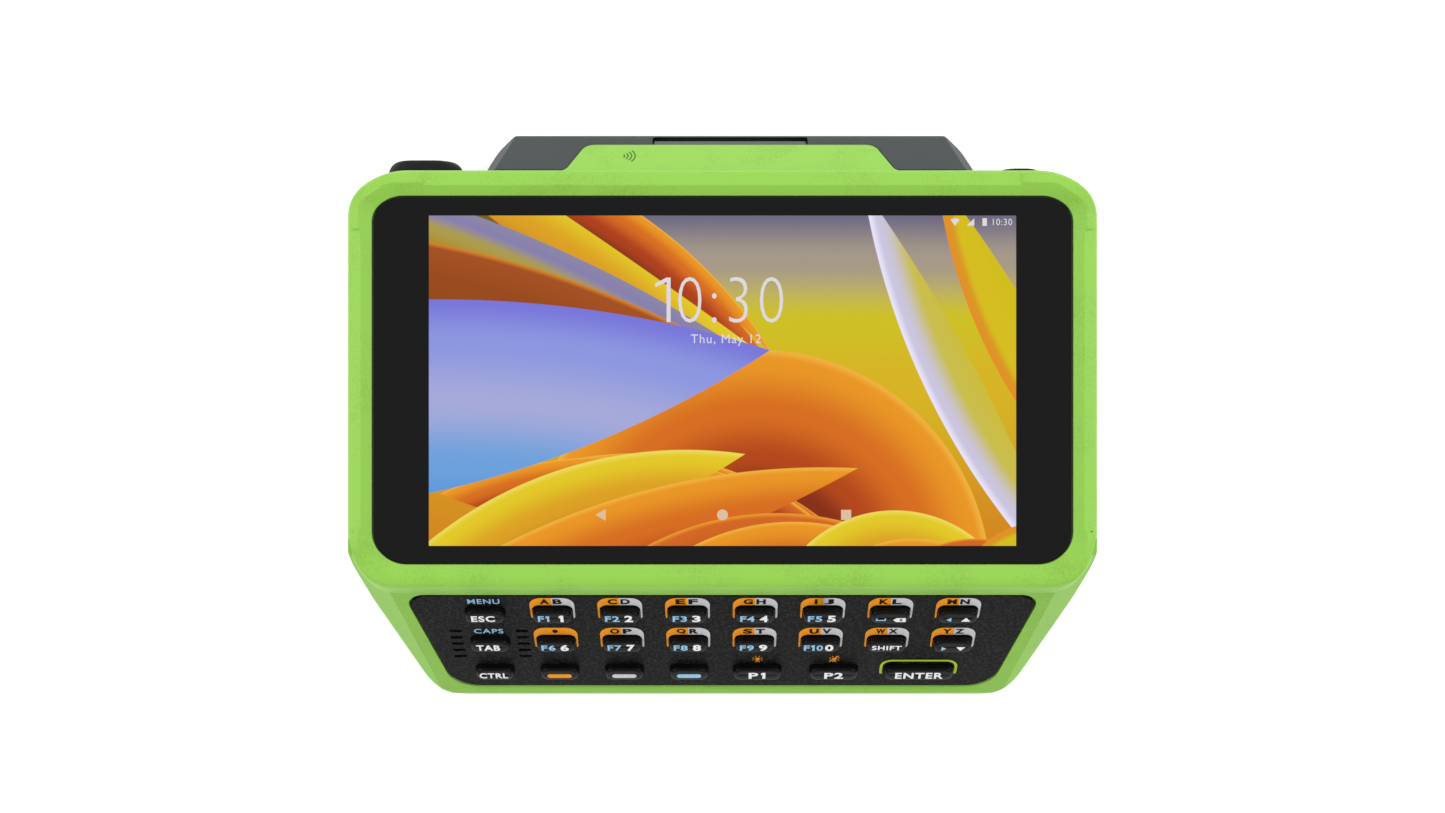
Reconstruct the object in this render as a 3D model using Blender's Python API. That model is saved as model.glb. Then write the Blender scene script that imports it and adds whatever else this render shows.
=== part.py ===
"""Wearable keypad computer: a 4.7-inch touch screen over a sloping 23-key pad, lying on its back.

+X is to the right, +Y towards the battery hump, +Z out of the screen. The origin is the middle of
the footprint, on the flat back. Lengths are in millimetres and turn to metres where a mesh is made.
"""

import math

import bmesh
import bpy
from mathutils import Matrix, Vector

MM = 0.001
GAP = 0.3
WALL = 2.2
FAR = 90.0

# Corners are (x, y, radius), on the right half from the bottom up.
BODY_HALF = [
    (55.1, -53.25, 6.8),
    (64.1, -32.25, 20.0),
    (66.9, -25.4, 9.0),
    (66.9, 40.25, 7.4),
    (60.3, 45.05, 13.0),
]
OPENING_HALF = [(58.35, -25.23, 5.0), (62.15, -21.83, 5.0), (62.15, 37.6, 3.0), (58.55, 40.1, 3.0)]
PANEL_HALF = [(51.5, -25.43, 6.0), (57.16, 3.2, 2.0)]

CREST_Z = 30.2
BUMPER_Z = 30.5
EDGE_BEVEL = 1.2
RIM_SLOPE = math.radians(47.0)
PAD_ORIGIN = (0.0, -33.42, 22.6)
PAD_WALL_FOOT = (-30.9, 25.3)
PAD_WALL_LEAN = 1.75 / 4.9
RIM_DEPTH = 3.0

GLASS_TOP = 29.2
GLASS_THICK = 1.1
LEDGE_TOP = 27.0
LEDGE_FOOT = 25.4
LEDGE_WIDE = 2.0
SCREEN_SIZE = (104.05, 58.53)
SCREEN_Y = 7.32

FLOOR = 2.0
SPLIT_Z = 9.0
SPLIT_TOP_Z = 23.0

HUMP_X = 1.4
HUMP_ORIGIN = (HUMP_X, 45.52, 23.2)
HUMP_SLOPE = math.radians(48.0)
HUMP_END_Y = 53.25
HUMP_END_Z = 14.62
HUMP_HALF = [(44.0, 40.0, 0.0), (44.0, 46.2, 2.0), (40.3, 53.25, 3.0)]
TAB_HALF = [(34.0, -3.0, 0.0), (34.0, -0.4, 0.0), (30.2, 0.9, 3.0), (26.8, 8.15, 2.5)]
TAB_PROUD = 0.15
TAB_THICK = 1.2
LATCH_SIZE = (28.3, 1.9)
LATCH_T = 9.55
LATCH_THICK = 1.8
LATCH_TRAVEL = 1.2

BAY_HALF_X = 36.3
BAY_BACK_Y = -14.0
BAY_Z = (1.5, 12.3)
PACK_WALL = 1.2

KEY_ROWS = (0.0, 9.17, 18.34)
KEY_STEP = 12.28
KEY_SHIFT = -0.21
KEY_SIZE = (7.5, 3.8)
KEY_HIGH = (1.3, 1.45)
KEY_FLANGE = (-2.0, -1.5)
FLANGE_WIDE = 0.7
PANEL_THICK = 1.2
SLOT_SIZE = (2.45, 0.7)
SLOT_COLUMNS = (-49.3, -37.05)
SLOT_STEP = 2.03

TRIGGER_AT = (-54.6, 17.4)
TRIGGER_SIZE = (13.7, 8.4)
TRIGGER_END_Y = 47.65
POWER_AT = (54.4, 18.6)
POWER_SIZE = (7.7, 5.4)
POWER_END_Y = 46.15

SCREW_PLACES = [(60.3, 34.5), (-60.3, 34.5), (60.3, -17.0), (-60.3, -17.0)]
SCREW_R = 1.0
HEAD_R = 2.0
BOSS_R = 3.5

GREEN = (0.32, 0.64, 0.12)
SLATE = (0.085, 0.095, 0.097)
BLACK = (0.008, 0.008, 0.008)
STEEL = (0.55, 0.55, 0.56)
BOARD = (0.02, 0.16, 0.07)
GOLD = (0.85, 0.6, 0.2)

for old in list(bpy.data.objects):
    bpy.data.objects.remove(old)

PARTS = bpy.data.collections.new("keypad_computer")
CUTTERS = bpy.data.collections.new("cutters")
for group in (PARTS, CUTTERS):
    bpy.context.scene.collection.children.link(group)
CUTTERS.hide_render = True

PAD_FRAME = Matrix.Translation(Vector(PAD_ORIGIN) * MM) @ Matrix.Rotation(RIM_SLOPE, 4, "X")
HUMP_FRAME = Matrix.Translation(Vector(HUMP_ORIGIN) * MM) @ Matrix.Rotation(-HUMP_SLOPE, 4, "X")
SIDE_FRAME = Matrix(((0, 0, 1, 0), (1, 0, 0, 0), (0, 1, 0, 0), (0, 0, 0, 1)))
BACK_FRAME = Matrix(((-1, 0, 0, 0), (0, 0, 1, 0), (0, 1, 0, 0), (0, 0, 0, 1)))


def material(name, colour, roughness, metallic=0.0):
    made = bpy.data.materials.new(name)
    made.use_nodes = True
    shader = made.node_tree.nodes["Principled BSDF"]
    shader.inputs["Base Color"].default_value = (*colour, 1.0)
    shader.inputs["Roughness"].default_value = roughness
    shader.inputs["Metallic"].default_value = metallic
    return made


def finish(obj, colour, roughness=0.5, metallic=0.0):
    """Moves a finished solid into the object's collection and gives it its own material."""
    obj.data.materials.clear()
    obj.data.materials.append(material(obj.name, colour, roughness, metallic))
    for group in list(obj.users_collection):
        group.objects.unlink(obj)
    PARTS.objects.link(obj)
    return obj


def mirrored(half):
    """The whole outline of a shape whose right half is given from the bottom up."""
    left = [(-x, y, radius) for x, y, radius in reversed(half)]
    return half + left


def box_outline(wide, high, radius=0.0, x=0.0, y=0.0):
    corners = [(-1, -1), (1, -1), (1, 1), (-1, 1)]
    return [(x + i * wide / 2, y + j * high / 2, radius) for i, j in corners]


def offset(corners, distance):
    """The outline moved inwards by a distance, its radii following."""
    moved = []
    for i, (x, y, radius) in enumerate(corners):
        here = Vector((x, y))
        into = (here - Vector(corners[i - 1][:2])).normalized()
        out = (Vector(corners[(i + 1) % len(corners)][:2]) - here).normalized()
        turn = math.atan2(into.x * out.y - into.y * out.x, into.dot(out))
        inward = Vector((-into.y, into.x)) + Vector((-out.y, out.x))
        shift = inward.normalized() * distance / math.cos(turn / 2)
        new_radius = radius - math.copysign(distance, turn) if radius else 0.0
        moved.append((x + shift.x, y + shift.y, max(new_radius, 0.0)))
    return moved


def rounded(corners, steps=4):
    """Points round an outline, with an arc of so many steps at each corner that has a radius."""
    points = []
    for i, (x, y, radius) in enumerate(corners):
        here = Vector((x, y))
        back = (Vector(corners[i - 1][:2]) - here).normalized()
        ahead = (Vector(corners[(i + 1) % len(corners)][:2]) - here).normalized()
        half = back.angle(ahead) / 2
        if radius < 0.05 or half > math.radians(89):
            points.append((x, y))
            continue
        centre = here + (back + ahead).normalized() * radius / math.sin(half)
        first = here + back * radius / math.tan(half) - centre
        last = here + ahead * radius / math.tan(half) - centre
        start = math.atan2(first.y, first.x)
        sweep = math.remainder(math.atan2(last.y, last.x) - start, 2 * math.pi)
        for step in range(steps + 1):
            angle = start + sweep * step / steps
            points.append((centre.x + radius * math.cos(angle), centre.y + radius * math.sin(angle)))
    return points


def circle(x, y, radius, sides=16):
    angles = [2 * math.pi * i / sides for i in range(sides)]
    return [(x + radius * math.cos(a), y + radius * math.sin(a)) for a in angles]


def mesh_object(name, mesh, frame):
    made = bpy.data.objects.new(name, mesh)
    made.matrix_world = frame
    CUTTERS.objects.link(made)
    return made


def plate(name, outline, low, high, holes=(), frame=Matrix.Identity(4)):
    """A flat outline with holes, as a closed solid between two heights of its frame."""
    curve = bpy.data.curves.new(name, "CURVE")
    curve.dimensions = "2D"
    curve.fill_mode = "BOTH"
    curve.extrude = (high - low) / 2 * MM
    for loop in (outline, *holes):
        spline = curve.splines.new("POLY")
        spline.points.add(len(loop) - 1)
        spline.use_cyclic_u = True
        for point, (x, y) in zip(spline.points, loop):
            point.co = (x * MM, y * MM, 0.0, 1.0)
    flat = bpy.data.objects.new(name + "_outline", curve)
    CUTTERS.objects.link(flat)
    bpy.context.view_layer.update()
    mesh = bpy.data.meshes.new_from_object(flat.evaluated_get(bpy.context.evaluated_depsgraph_get()))
    bpy.data.objects.remove(flat)
    mesh.name = name
    welded = bmesh.new()
    welded.from_mesh(mesh)
    bmesh.ops.remove_doubles(welded, verts=welded.verts, dist=1e-6)
    bmesh.ops.translate(welded, verts=welded.verts, vec=(0, 0, (low + high) / 2 * MM))
    bmesh.ops.recalc_face_normals(welded, faces=welded.faces)
    welded.to_mesh(mesh)
    welded.free()
    return mesh_object(name, mesh, frame)


def box(name, low, high, frame=Matrix.Identity(4)):
    """A box between two corners, from a cube primitive."""
    size = [(b - a) * MM for a, b in zip(low, high)]
    middle = [(a + b) / 2 * MM for a, b in zip(low, high)]
    shape = bmesh.new()
    bmesh.ops.create_cube(shape, size=1.0, matrix=Matrix.LocRotScale(middle, None, size))
    mesh = bpy.data.meshes.new(name)
    shape.to_mesh(mesh)
    shape.free()
    return mesh_object(name, mesh, frame)


def loft(name, sections, frame=Matrix.Identity(4)):
    """A closed solid through sections, which are rings of equally many (x, y, z) points."""
    shape = bmesh.new()
    rings = [[shape.verts.new((x * MM, y * MM, z * MM)) for x, y, z in ring] for ring in sections]
    count = len(rings[0])
    for lower, upper in zip(rings, rings[1:]):
        for i in range(count):
            j = (i + 1) % count
            shape.faces.new((lower[i], lower[j], upper[j], upper[i]))
    shape.faces.new(list(reversed(rings[0])))
    shape.faces.new(rings[-1])
    bmesh.ops.recalc_face_normals(shape, faces=shape.faces)
    mesh = bpy.data.meshes.new(name)
    shape.to_mesh(mesh)
    shape.free()
    return mesh_object(name, mesh, frame)


def at_height(points, z):
    return [(x, y, z) for x, y in points]


def combine(target, other, operation):
    """Applies one exact Boolean to the target and removes the other solid."""
    bpy.context.view_layer.update()
    modifier = target.modifiers.new(operation, "BOOLEAN")
    modifier.operation = operation
    modifier.solver = "EXACT"
    modifier.object = other
    graph = bpy.context.evaluated_depsgraph_get()
    mesh = bpy.data.meshes.new_from_object(target.evaluated_get(graph))
    target.modifiers.clear()
    old = target.data
    target.data = mesh
    mesh.name = target.name
    bpy.data.meshes.remove(old)
    bpy.data.objects.remove(other)
    return target


def cut(target, *others):
    for other in others:
        combine(target, other, "DIFFERENCE")
    return target


def join(target, *others):
    for other in others:
        combine(target, other, "UNION")
    return target


def shifted(frame, x=0.0, y=0.0, z=0.0):
    return frame @ Matrix.Translation(Vector((x, y, z)) * MM)


def bevel_top(obj, height, width, segments):
    """Rounds the outer edge of a prism's top face."""
    shape = bmesh.new()
    shape.from_mesh(obj.data)
    bmesh.ops.dissolve_limit(shape, angle_limit=0.001, verts=shape.verts, edges=shape.edges)
    edges = [e for e in shape.edges if all(abs(v.co.z - height * MM) < 1e-6 for v in e.verts)]
    bmesh.ops.bevel(
        shape, geom=edges, offset=width * MM, affect="EDGES", segments=segments, profile=0.5, material=-1
    )
    shape.to_mesh(obj.data)
    shape.free()
    return obj


def slope_cutter(name, drop, setback):
    """Everything above the keypad's slope and in front of the wall under the screen's lower edge."""
    foot_y, foot_z = PAD_WALL_FOOT
    foot_y += setback
    foot_z += setback * math.tan(RIM_SLOPE) - drop / math.cos(RIM_SLOPE)
    lean = 0.0 if setback else PAD_WALL_LEAN
    profile = [
        (foot_y, foot_z),
        (-FAR, foot_z - (foot_y + FAR) * math.tan(RIM_SLOPE)),
        (-FAR, FAR / 2),
        (foot_y + lean * (FAR / 2 - foot_z), FAR / 2),
    ]
    return plate(name, profile, -FAR, FAR, frame=SIDE_FRAME)


def rear_region(name, gap):
    """The side profile of all that belongs to the rear shell, grown by a gap."""
    profile = [
        (FAR, SPLIT_TOP_Z + gap),
        (40.5 - gap, SPLIT_TOP_Z + gap),
        (38.2 - gap, SPLIT_Z + gap),
        (-26.0, SPLIT_Z + gap),
        (-44.5 - gap, 2.2 + gap),
        (-44.5 - gap, -FAR / 2),
        (FAR, -FAR / 2),
    ]
    return plate(name, profile, -FAR, FAR, frame=SIDE_FRAME)


def body_block(name):
    """The whole outer form: the outline, rounded at the top and cut to the keypad's slope."""
    block = plate(name, rounded(mirrored(BODY_HALF)), 0.0, CREST_Z)
    bevel_top(block, CREST_Z, EDGE_BEVEL, 2)
    return cut(block, slope_cutter("slope", 0.0, 0.0))


def cavity(name):
    """The room inside both shells."""
    room = plate(name, rounded(offset(mirrored(BODY_HALF), WALL)), FLOOR, LEDGE_FOOT)
    return cut(room, slope_cutter("inner_slope", RIM_DEPTH, WALL + 0.1))


def corner_pads(block):
    """Four slightly proud pads on the corners of the screen surround."""
    for side in (-1, 1):
        for low_y, high_y in ((34.05, FAR), (-24.6, -19.2)):
            outline = rounded(offset(mirrored(BODY_HALF), EDGE_BEVEL + 0.4))
            ring = plate("pad", outline, CREST_Z - 1.0, BUMPER_Z)
            x_range = (53.0, FAR) if low_y > 0 else (64.2, FAR)
            xs = sorted(side * x for x in x_range)
            combine(ring, box("corner", (xs[0], low_y, 0.0), (xs[1], high_y, 40.0)), "INTERSECT")
            cut(ring, plate("inside", rounded(offset(mirrored(OPENING_HALF), -1.9)), 0.0, 40.0))
            join(block, ring)


def hump_tab(name, grow, low, high):
    outline = rounded(offset(mirrored(TAB_HALF), -grow))
    return plate(name, outline, low, high, frame=HUMP_FRAME)


def oblong(size, grow=0.0, x=0.0, y=0.0):
    wide, high = (length + 2 * grow for length in size)
    return rounded(box_outline(wide, high, min(wide, high) / 2 - 0.1, x, y))


def button_hole(name, place, size):
    frame = shifted(BACK_FRAME, -place[0], place[1], 0.0)
    return plate(name, oblong(size, GAP), 30.0, FAR, frame=frame)


def bumper_frame():
    """The green over-moulded shell: screen surround, side walls, keypad rim and the tab on the hump."""
    shell = body_block("bumper_frame")
    corner_pads(shell)
    cut(shell, rear_region("split", GAP), cavity("cavity"))
    opening = mirrored(OPENING_HALF)
    crest = rounded(offset(opening, -1.8))
    edge = rounded(opening)
    sections = [at_height(edge, LEDGE_TOP), at_height(edge, GLASS_TOP), at_height(crest, BUMPER_Z + 0.4)]
    cut(shell, loft("surround", sections))
    cut(shell, plate("ledge", rounded(offset(opening, LEDGE_WIDE)), 20.0, 40.0))
    panel = mirrored(PANEL_HALF)
    cut(shell, plate("seat", rounded(offset(panel, -GAP)), -PANEL_THICK - GAP, 20.0, frame=PAD_FRAME))
    cut(shell, plate("window", rounded(offset(panel, 1.2)), -6.0, 20.0, frame=PAD_FRAME))
    for x, y in SCREW_PLACES:
        join(shell, plate("boss", circle(x, y, BOSS_R - 1.0), SPLIT_Z + 2 * GAP, LEDGE_FOOT + 0.5))
        cut(shell, plate("hole", circle(x, y, SCREW_R + GAP, 12), SPLIT_Z - 1.0, 17.0))
    join(shell, hump_tab("tab", 0.0, -TAB_THICK, TAB_PROUD))
    return finish(shell, GREEN, 0.45)


def hump_block():
    """The battery hump: a plan outline met with its sloping side profile."""
    plan = [(HUMP_X + x, y, r) for x, y, r in mirrored(HUMP_HALF)]
    block = plate("hump", rounded(plan), 0.0, SPLIT_TOP_Z)
    top_y = HUMP_ORIGIN[1] + (HUMP_ORIGIN[2] - SPLIT_TOP_Z) / math.tan(HUMP_SLOPE)
    profile = [
        (30.0, 0.0),
        (HUMP_END_Y - 2.5, 0.0),
        (HUMP_END_Y, 2.5),
        (HUMP_END_Y, HUMP_END_Z),
        (top_y, SPLIT_TOP_Z),
        (30.0, SPLIT_TOP_Z),
    ]
    return combine(block, plate("hump_side", profile, -FAR, FAR, frame=SIDE_FRAME), "INTERSECT")


def rear_housing():
    """The slate rear shell with the battery bay, the hump, its latch pocket and the screw bosses."""
    shell = body_block("rear_housing")
    combine(shell, rear_region("split", 0.0), "INTERSECT")
    join(shell, hump_block())
    room = cavity("room")
    left, right = HUMP_X - BAY_HALF_X, HUMP_X + BAY_HALF_X
    bay_low, bay_high = BAY_Z
    cut(room, box("bay_block", (left - 2.0, BAY_BACK_Y - 2.0, 0.0), (right + 2.0, FAR, bay_high + 1.7)))
    cut(shell, room)
    cut(shell, box("bay", (left, BAY_BACK_Y, bay_low), (right, FAR, bay_high)))
    window_low = (HUMP_X - 8.0, BAY_BACK_Y - 5.0, 4.0)
    window_high = (HUMP_X + 8.0, BAY_BACK_Y + 1.0, 9.0)
    cut(shell, box("contact_window", window_low, window_high))
    cut(shell, box("hump_room", (HUMP_X - 38.0, 40.0, 15.0), (HUMP_X + 38.0, 47.6, 18.4)))
    cut(shell, hump_tab("tab_seat", GAP, -TAB_THICK - GAP, 8.0))
    latch = box_outline(LATCH_SIZE[0] + 2 * GAP, LATCH_SIZE[1] + 2 * GAP, 0.6, 0.0, LATCH_T)
    depth = LATCH_THICK + LATCH_TRAVEL + GAP
    cut(shell, plate("latch_pocket", rounded(latch), -depth, 8.0, frame=HUMP_FRAME))
    cut(shell, button_hole("trigger_hole", TRIGGER_AT, TRIGGER_SIZE))
    cut(shell, button_hole("power_hole", POWER_AT, POWER_SIZE))
    for x, y in SCREW_PLACES:
        join(shell, plate("boss", circle(x, y, BOSS_R), 1.0, SPLIT_Z))
        cut(shell, plate("head", circle(x, y, HEAD_R + GAP), -1.0, 2.9))
        cut(shell, plate("hole", circle(x, y, SCREW_R + GAP, 12), 2.0, SPLIT_Z + 1.0))
    cut(shell, box("dock_seat", (-14.3, -33.3, -1.0), (14.3, -26.7, 1.0)))
    return finish(shell, SLATE, 0.55)


def screen_stack():
    """Cover glass, its gasket, the display module under it and the metal frame that carries them."""
    opening = mirrored(OPENING_HALF)
    glass_z = GLASS_TOP - GLASS_THICK
    finish(plate("touch_glass", rounded(offset(opening, GAP)), glass_z, GLASS_TOP), BLACK, 0.05)
    outer = rounded(offset(opening, 0.5))
    inner = rounded(offset(opening, LEDGE_WIDE - 0.2))
    gasket = plate("display_gasket", outer, LEDGE_TOP + GAP, glass_z - GAP, holes=[inner])
    finish(gasket, BLACK, 0.8)
    outline = box_outline(SCREEN_SIZE[0] + 5.0, SCREEN_SIZE[1] + 1.8, 1.0, 0.0, SCREEN_Y)
    finish(plate("display_panel", rounded(outline, 2), LEDGE_FOOT + GAP, glass_z - GAP), BLACK, 0.2)
    chassis = box_outline(110.0, 58.0, 3.0, 0.0, 7.0)
    holes = [circle(x, y, 3.0, 12) for x in (-40.0, 40.0) for y in (-12.0, 26.0)]
    finish(plate("mid_frame", rounded(chassis), 24.0, 25.1, holes=holes), STEEL, 0.4, 1.0)


def electronics():
    """The main board with what stands on it, and the switches and drivers round it."""
    outline = box_outline(100.0, 54.0, 2.0, 0.0, 8.0)
    finish(plate("main_board", rounded(outline), 19.8, 21.0), BOARD, 0.6)
    finish(box("shield_can", (-30.0, -8.0, 21.3), (6.0, 22.0, 23.4)), STEEL, 0.35, 1.0)
    plug_low = (HUMP_X - 7.0, BAY_BACK_Y - 8.0, 4.6)
    plug = box("battery_connector", plug_low, (HUMP_X + 7.0, BAY_BACK_Y - GAP, 8.6))
    join(plug, box("riser", (HUMP_X - 5.0, BAY_BACK_Y - 7.0, 6.0), (HUMP_X + 5.0, BAY_BACK_Y - 4.0, 19.5)))
    finish(plug, BLACK, 0.5)
    finish(box("trigger_switch", (-57.2, 33.2, 15.0), (-50.4, 38.4, 19.8)), BLACK, 0.5)
    finish(box("power_switch", (51.4, 34.2, 16.4), (57.4, 38.8, 20.8)), BLACK, 0.5)
    motor = plate("vibration_motor", circle(50.0, 10.0, 4.0), 3.0, 6.2)
    finish(motor, STEEL, 0.3, 1.0)
    loop = box_outline(60.0, 2.8, 1.0, HUMP_X, 44.6)
    inside = box_outline(56.0, 1.2, 0.4, HUMP_X, 44.6)
    finish(plate("nfc_antenna", rounded(loop, 2), 16.0, 16.4, holes=[rounded(inside, 2)]), GOLD, 0.4, 1.0)
    dock = plate("dock_contacts", rounded(box_outline(28.0, 6.0, 1.0, 0.0, -30.0)), 0.3, 0.7)
    for i in range(5):
        join(dock, plate("pad", circle(5.0 * (i - 2), -30.0, 1.2, 12), 0.0, 0.5))
    finish(dock, GOLD, 0.3, 1.0)


def screws():
    for number, (x, y) in enumerate(SCREW_PLACES, 1):
        sections = [(HEAD_R, 1.3), (HEAD_R, 2.6), (SCREW_R, 2.6), (SCREW_R, 14.0)]
        rings = [at_height(circle(0.0, 0.0, radius, 12), z) for radius, z in sections]
        screw = loft(f"housing_screw_{number}", rings, shifted(Matrix.Identity(4), x, y))
        cut(screw, plate("socket", circle(x, y, 0.9, 6), 0.0, 2.0))
        finish(screw, STEEL, 0.3, 1.0)


def battery():
    """The battery pack, which slides out of the hump: case, lid, cell and contact block."""
    half = BAY_HALF_X - GAP
    low = BAY_Z[0] + GAP
    high = BAY_Z[1] - GAP
    back = BAY_BACK_Y + GAP
    front = HUMP_END_Y - 0.15
    case = box("battery_case", (HUMP_X - half, back, low), (HUMP_X + half, front, high - PACK_WALL - GAP))
    inner = half - PACK_WALL
    well_low = (HUMP_X - inner, back + 3.0, low + PACK_WALL)
    cut(case, box("well", well_low, (HUMP_X + inner, front - 6.0, FAR)))
    join(case, box("end", (HUMP_X - half, front - 5.0, low), (HUMP_X + half, front, high)))
    cut(case, box("grip", (HUMP_X - 16.0, front - 2.2, 3.6), (HUMP_X + 16.0, front + 1.0, 6.4)))
    cut(case, box("notch", (HUMP_X - 6.3, back - 1.0, 5.0), (HUMP_X + 6.3, back + 2.0, 8.2)))
    finish(case, SLATE, 0.5)
    lid_low = (HUMP_X - half, back, high - PACK_WALL)
    lid = box("battery_lid", lid_low, (HUMP_X + half, front - 5.0 - GAP, high))
    finish(lid, SLATE, 0.5)
    well = box_outline(2 * inner, front - back - 9.0, 0.0, HUMP_X, (front + back) / 2 - 1.5)
    cell_box = offset(well, GAP)
    rounded_cell = rounded([(x, y, 2.0) for x, y, _ in cell_box])
    cell = plate("battery_cell", rounded_cell, low + PACK_WALL + GAP, high - PACK_WALL - 2 * GAP)
    finish(cell, (0.05, 0.1, 0.3), 0.4)
    contacts = box("battery_contacts", (HUMP_X - 6.0, back + 0.1, 5.3), (HUMP_X + 6.0, back + 1.6, 7.9))
    finish(contacts, GOLD, 0.3, 1.0)


def battery_latch():
    """The press bar in the hump's recess, sliding along the hump's own normal."""
    frame = shifted(HUMP_FRAME, y=LATCH_T)
    bar = plate("battery_latch", rounded(box_outline(*LATCH_SIZE, 0.5), 2), -LATCH_THICK, -0.2, frame=frame)
    finish(bar, (0.13, 0.14, 0.145), 0.5)


def side_button(name, place, size, end_y, colour, dome):
    """A button in the rear shell's top wall, with a retaining flange inside and a crowned face."""
    frame = shifted(BACK_FRAME, -place[0], place[1], 0.0)
    wall_y = BODY_HALF[-1][1] - WALL - 2 * GAP
    outline = oblong(size)
    flange = [(x * 1.06, y * 1.1) for x, y in outline]
    crown = [(x * (1 - dome), y * (1 - dome)) for x, y in outline]
    sections = [
        at_height(flange, wall_y - 2.6),
        at_height(flange, wall_y - 1.1),
        at_height(outline, wall_y - 1.1),
        at_height(outline, end_y - 1.0),
        at_height(crown, end_y),
    ]
    finish(loft(name, sections, frame), colour, 0.6)


def key_column(index):
    return (index - 3.5) * KEY_STEP + KEY_SHIFT


def key_list():
    """Every key as (name, x, row, width)."""
    keys = []
    rows = [
        ["esc", "1", "2", "3", "4", "5", "space", "up"],
        ["tab", "6", "7", "8", "9", "0", "shift", "down"],
    ]
    for row, names in enumerate(rows):
        keys += [("key_" + name, key_column(i), row, KEY_SIZE[0]) for i, name in enumerate(names)]
    for i, name in enumerate(["ctrl", "orange", "grey", "blue"]):
        keys.append(("key_" + name, key_column(i), 2, KEY_SIZE[0]))
    keys += [("key_p1", 6.6, 2, 9.4), ("key_p2", 21.1, 2, 9.4), ("key_enter", 37.3, 2, 13.3)]
    return keys


def key_y(row):
    return -KEY_ROWS[row] - KEY_SIZE[1] / 2


def keycap(name, x, row, wide):
    """A wedge-topped key with a flange that keeps it under the panel."""
    outline = rounded(box_outline(wide, KEY_SIZE[1], 1.2), 2)
    flange = rounded(box_outline(wide + 2 * FLANGE_WIDE, KEY_SIZE[1] + 2 * FLANGE_WIDE, 1.2), 2)
    upper, lower = KEY_HIGH
    top = [(px, py, (upper + lower) / 2 - (lower - upper) * py / KEY_SIZE[1]) for px, py in outline]
    sections = [
        at_height(flange, KEY_FLANGE[0]),
        at_height(flange, KEY_FLANGE[1]),
        at_height(outline, KEY_FLANGE[1]),
        top,
    ]
    finish(loft(name, sections, shifted(PAD_FRAME, x, key_y(row))), BLACK, 0.15)


def keypad():
    """The keypad panel with its key holes and speaker slots, the keys, the membrane and the board."""
    holes = []
    for _, x, row, wide in key_list():
        hole = box_outline(wide + 2 * GAP, KEY_SIZE[1] + 2 * GAP, 1.4, x, key_y(row))
        holes.append(rounded(hole, 2))
    for x in SLOT_COLUMNS:
        for i in range(5):
            holes.append(rounded(box_outline(*SLOT_SIZE, 0.0, x, -7.75 - SLOT_STEP * i)))
    outline = rounded(mirrored(PANEL_HALF))
    panel = plate("keypad_panel", outline, -PANEL_THICK, 0.0, holes=holes, frame=PAD_FRAME)
    finish(panel, (0.024, 0.026, 0.024), 0.6)
    for key in key_list():
        keycap(*key)
    sheet = mirrored([(51.2, -23.2, 3.0), (54.6, 1.6, 2.0)])
    ports = [rounded(box_outline(3.2, 10.0, 1.0, x, -11.8), 2) for x in SLOT_COLUMNS]
    membrane = plate("keypad_membrane", rounded(sheet), -3.7, -3.1, holes=ports, frame=PAD_FRAME)
    finish(membrane, (0.2, 0.2, 0.2), 0.8)
    board = plate("keypad_board", rounded(offset(sheet, 0.5)), -4.8, -4.0, holes=ports, frame=PAD_FRAME)
    finish(board, BOARD, 0.6)
    driver = rounded(box_outline(17.0, 11.0, 2.0, key_column(0), -6.5))
    speaker = plate("speaker", driver, -8.4, -5.1, frame=PAD_FRAME)
    finish(speaker, (0.05, 0.05, 0.05), 0.5)


bumper_frame()
rear_housing()
screen_stack()
electronics()
screws()
battery()
battery_latch()
side_button("trigger_button", TRIGGER_AT, TRIGGER_SIZE, TRIGGER_END_Y, (0.018, 0.02, 0.021), 0.12)
side_button("power_button", POWER_AT, POWER_SIZE, POWER_END_Y, SLATE, 0.08)
keypad()
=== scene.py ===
"""The looks of a wearable keypad computer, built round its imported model. Lengths are in millimetres."""

import math

import bmesh
import bpy
from mathutils import Matrix, Vector


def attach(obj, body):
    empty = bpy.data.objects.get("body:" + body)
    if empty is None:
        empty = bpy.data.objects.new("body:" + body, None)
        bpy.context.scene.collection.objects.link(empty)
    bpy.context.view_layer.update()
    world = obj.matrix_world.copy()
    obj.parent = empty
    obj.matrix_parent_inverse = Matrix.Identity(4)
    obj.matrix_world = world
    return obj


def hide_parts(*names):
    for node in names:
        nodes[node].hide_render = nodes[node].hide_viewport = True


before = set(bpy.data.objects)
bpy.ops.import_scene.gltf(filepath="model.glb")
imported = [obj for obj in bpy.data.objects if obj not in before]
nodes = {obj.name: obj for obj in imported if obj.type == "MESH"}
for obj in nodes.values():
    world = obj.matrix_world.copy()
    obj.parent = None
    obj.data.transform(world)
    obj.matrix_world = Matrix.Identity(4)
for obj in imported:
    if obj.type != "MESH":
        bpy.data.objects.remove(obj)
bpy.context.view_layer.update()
MM = 0.001

# --- Camera, floor and lights ---------------------------------------------------------------------
# The device lies on its back under a camera that looks straight down on the screen. Broad soft
# lights stand behind it and at both sides, and a weak one in front, on the keypad's slope.
camera = bpy.data.objects.new("camera", bpy.data.cameras.new("camera"))
camera.data.lens = 40.86
camera.data.sensor_width = 36.0
camera.data.clip_start = 0.01
camera.location = (0.0, 2.75 * MM, 319.8 * MM)
bpy.context.scene.collection.objects.link(camera)
bpy.context.scene.camera = camera
bpy.context.scene.view_settings.view_transform = "Standard"


def linear(code):
    """An sRGB hex colour as the linear red, green, blue and alpha that a shader takes."""
    parts = [int(code[i : i + 2], 16) / 255 for i in (0, 2, 4)]
    return [c / 12.92 if c <= 0.04045 else ((c + 0.055) / 1.055) ** 2.4 for c in parts] + [1.0]


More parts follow.
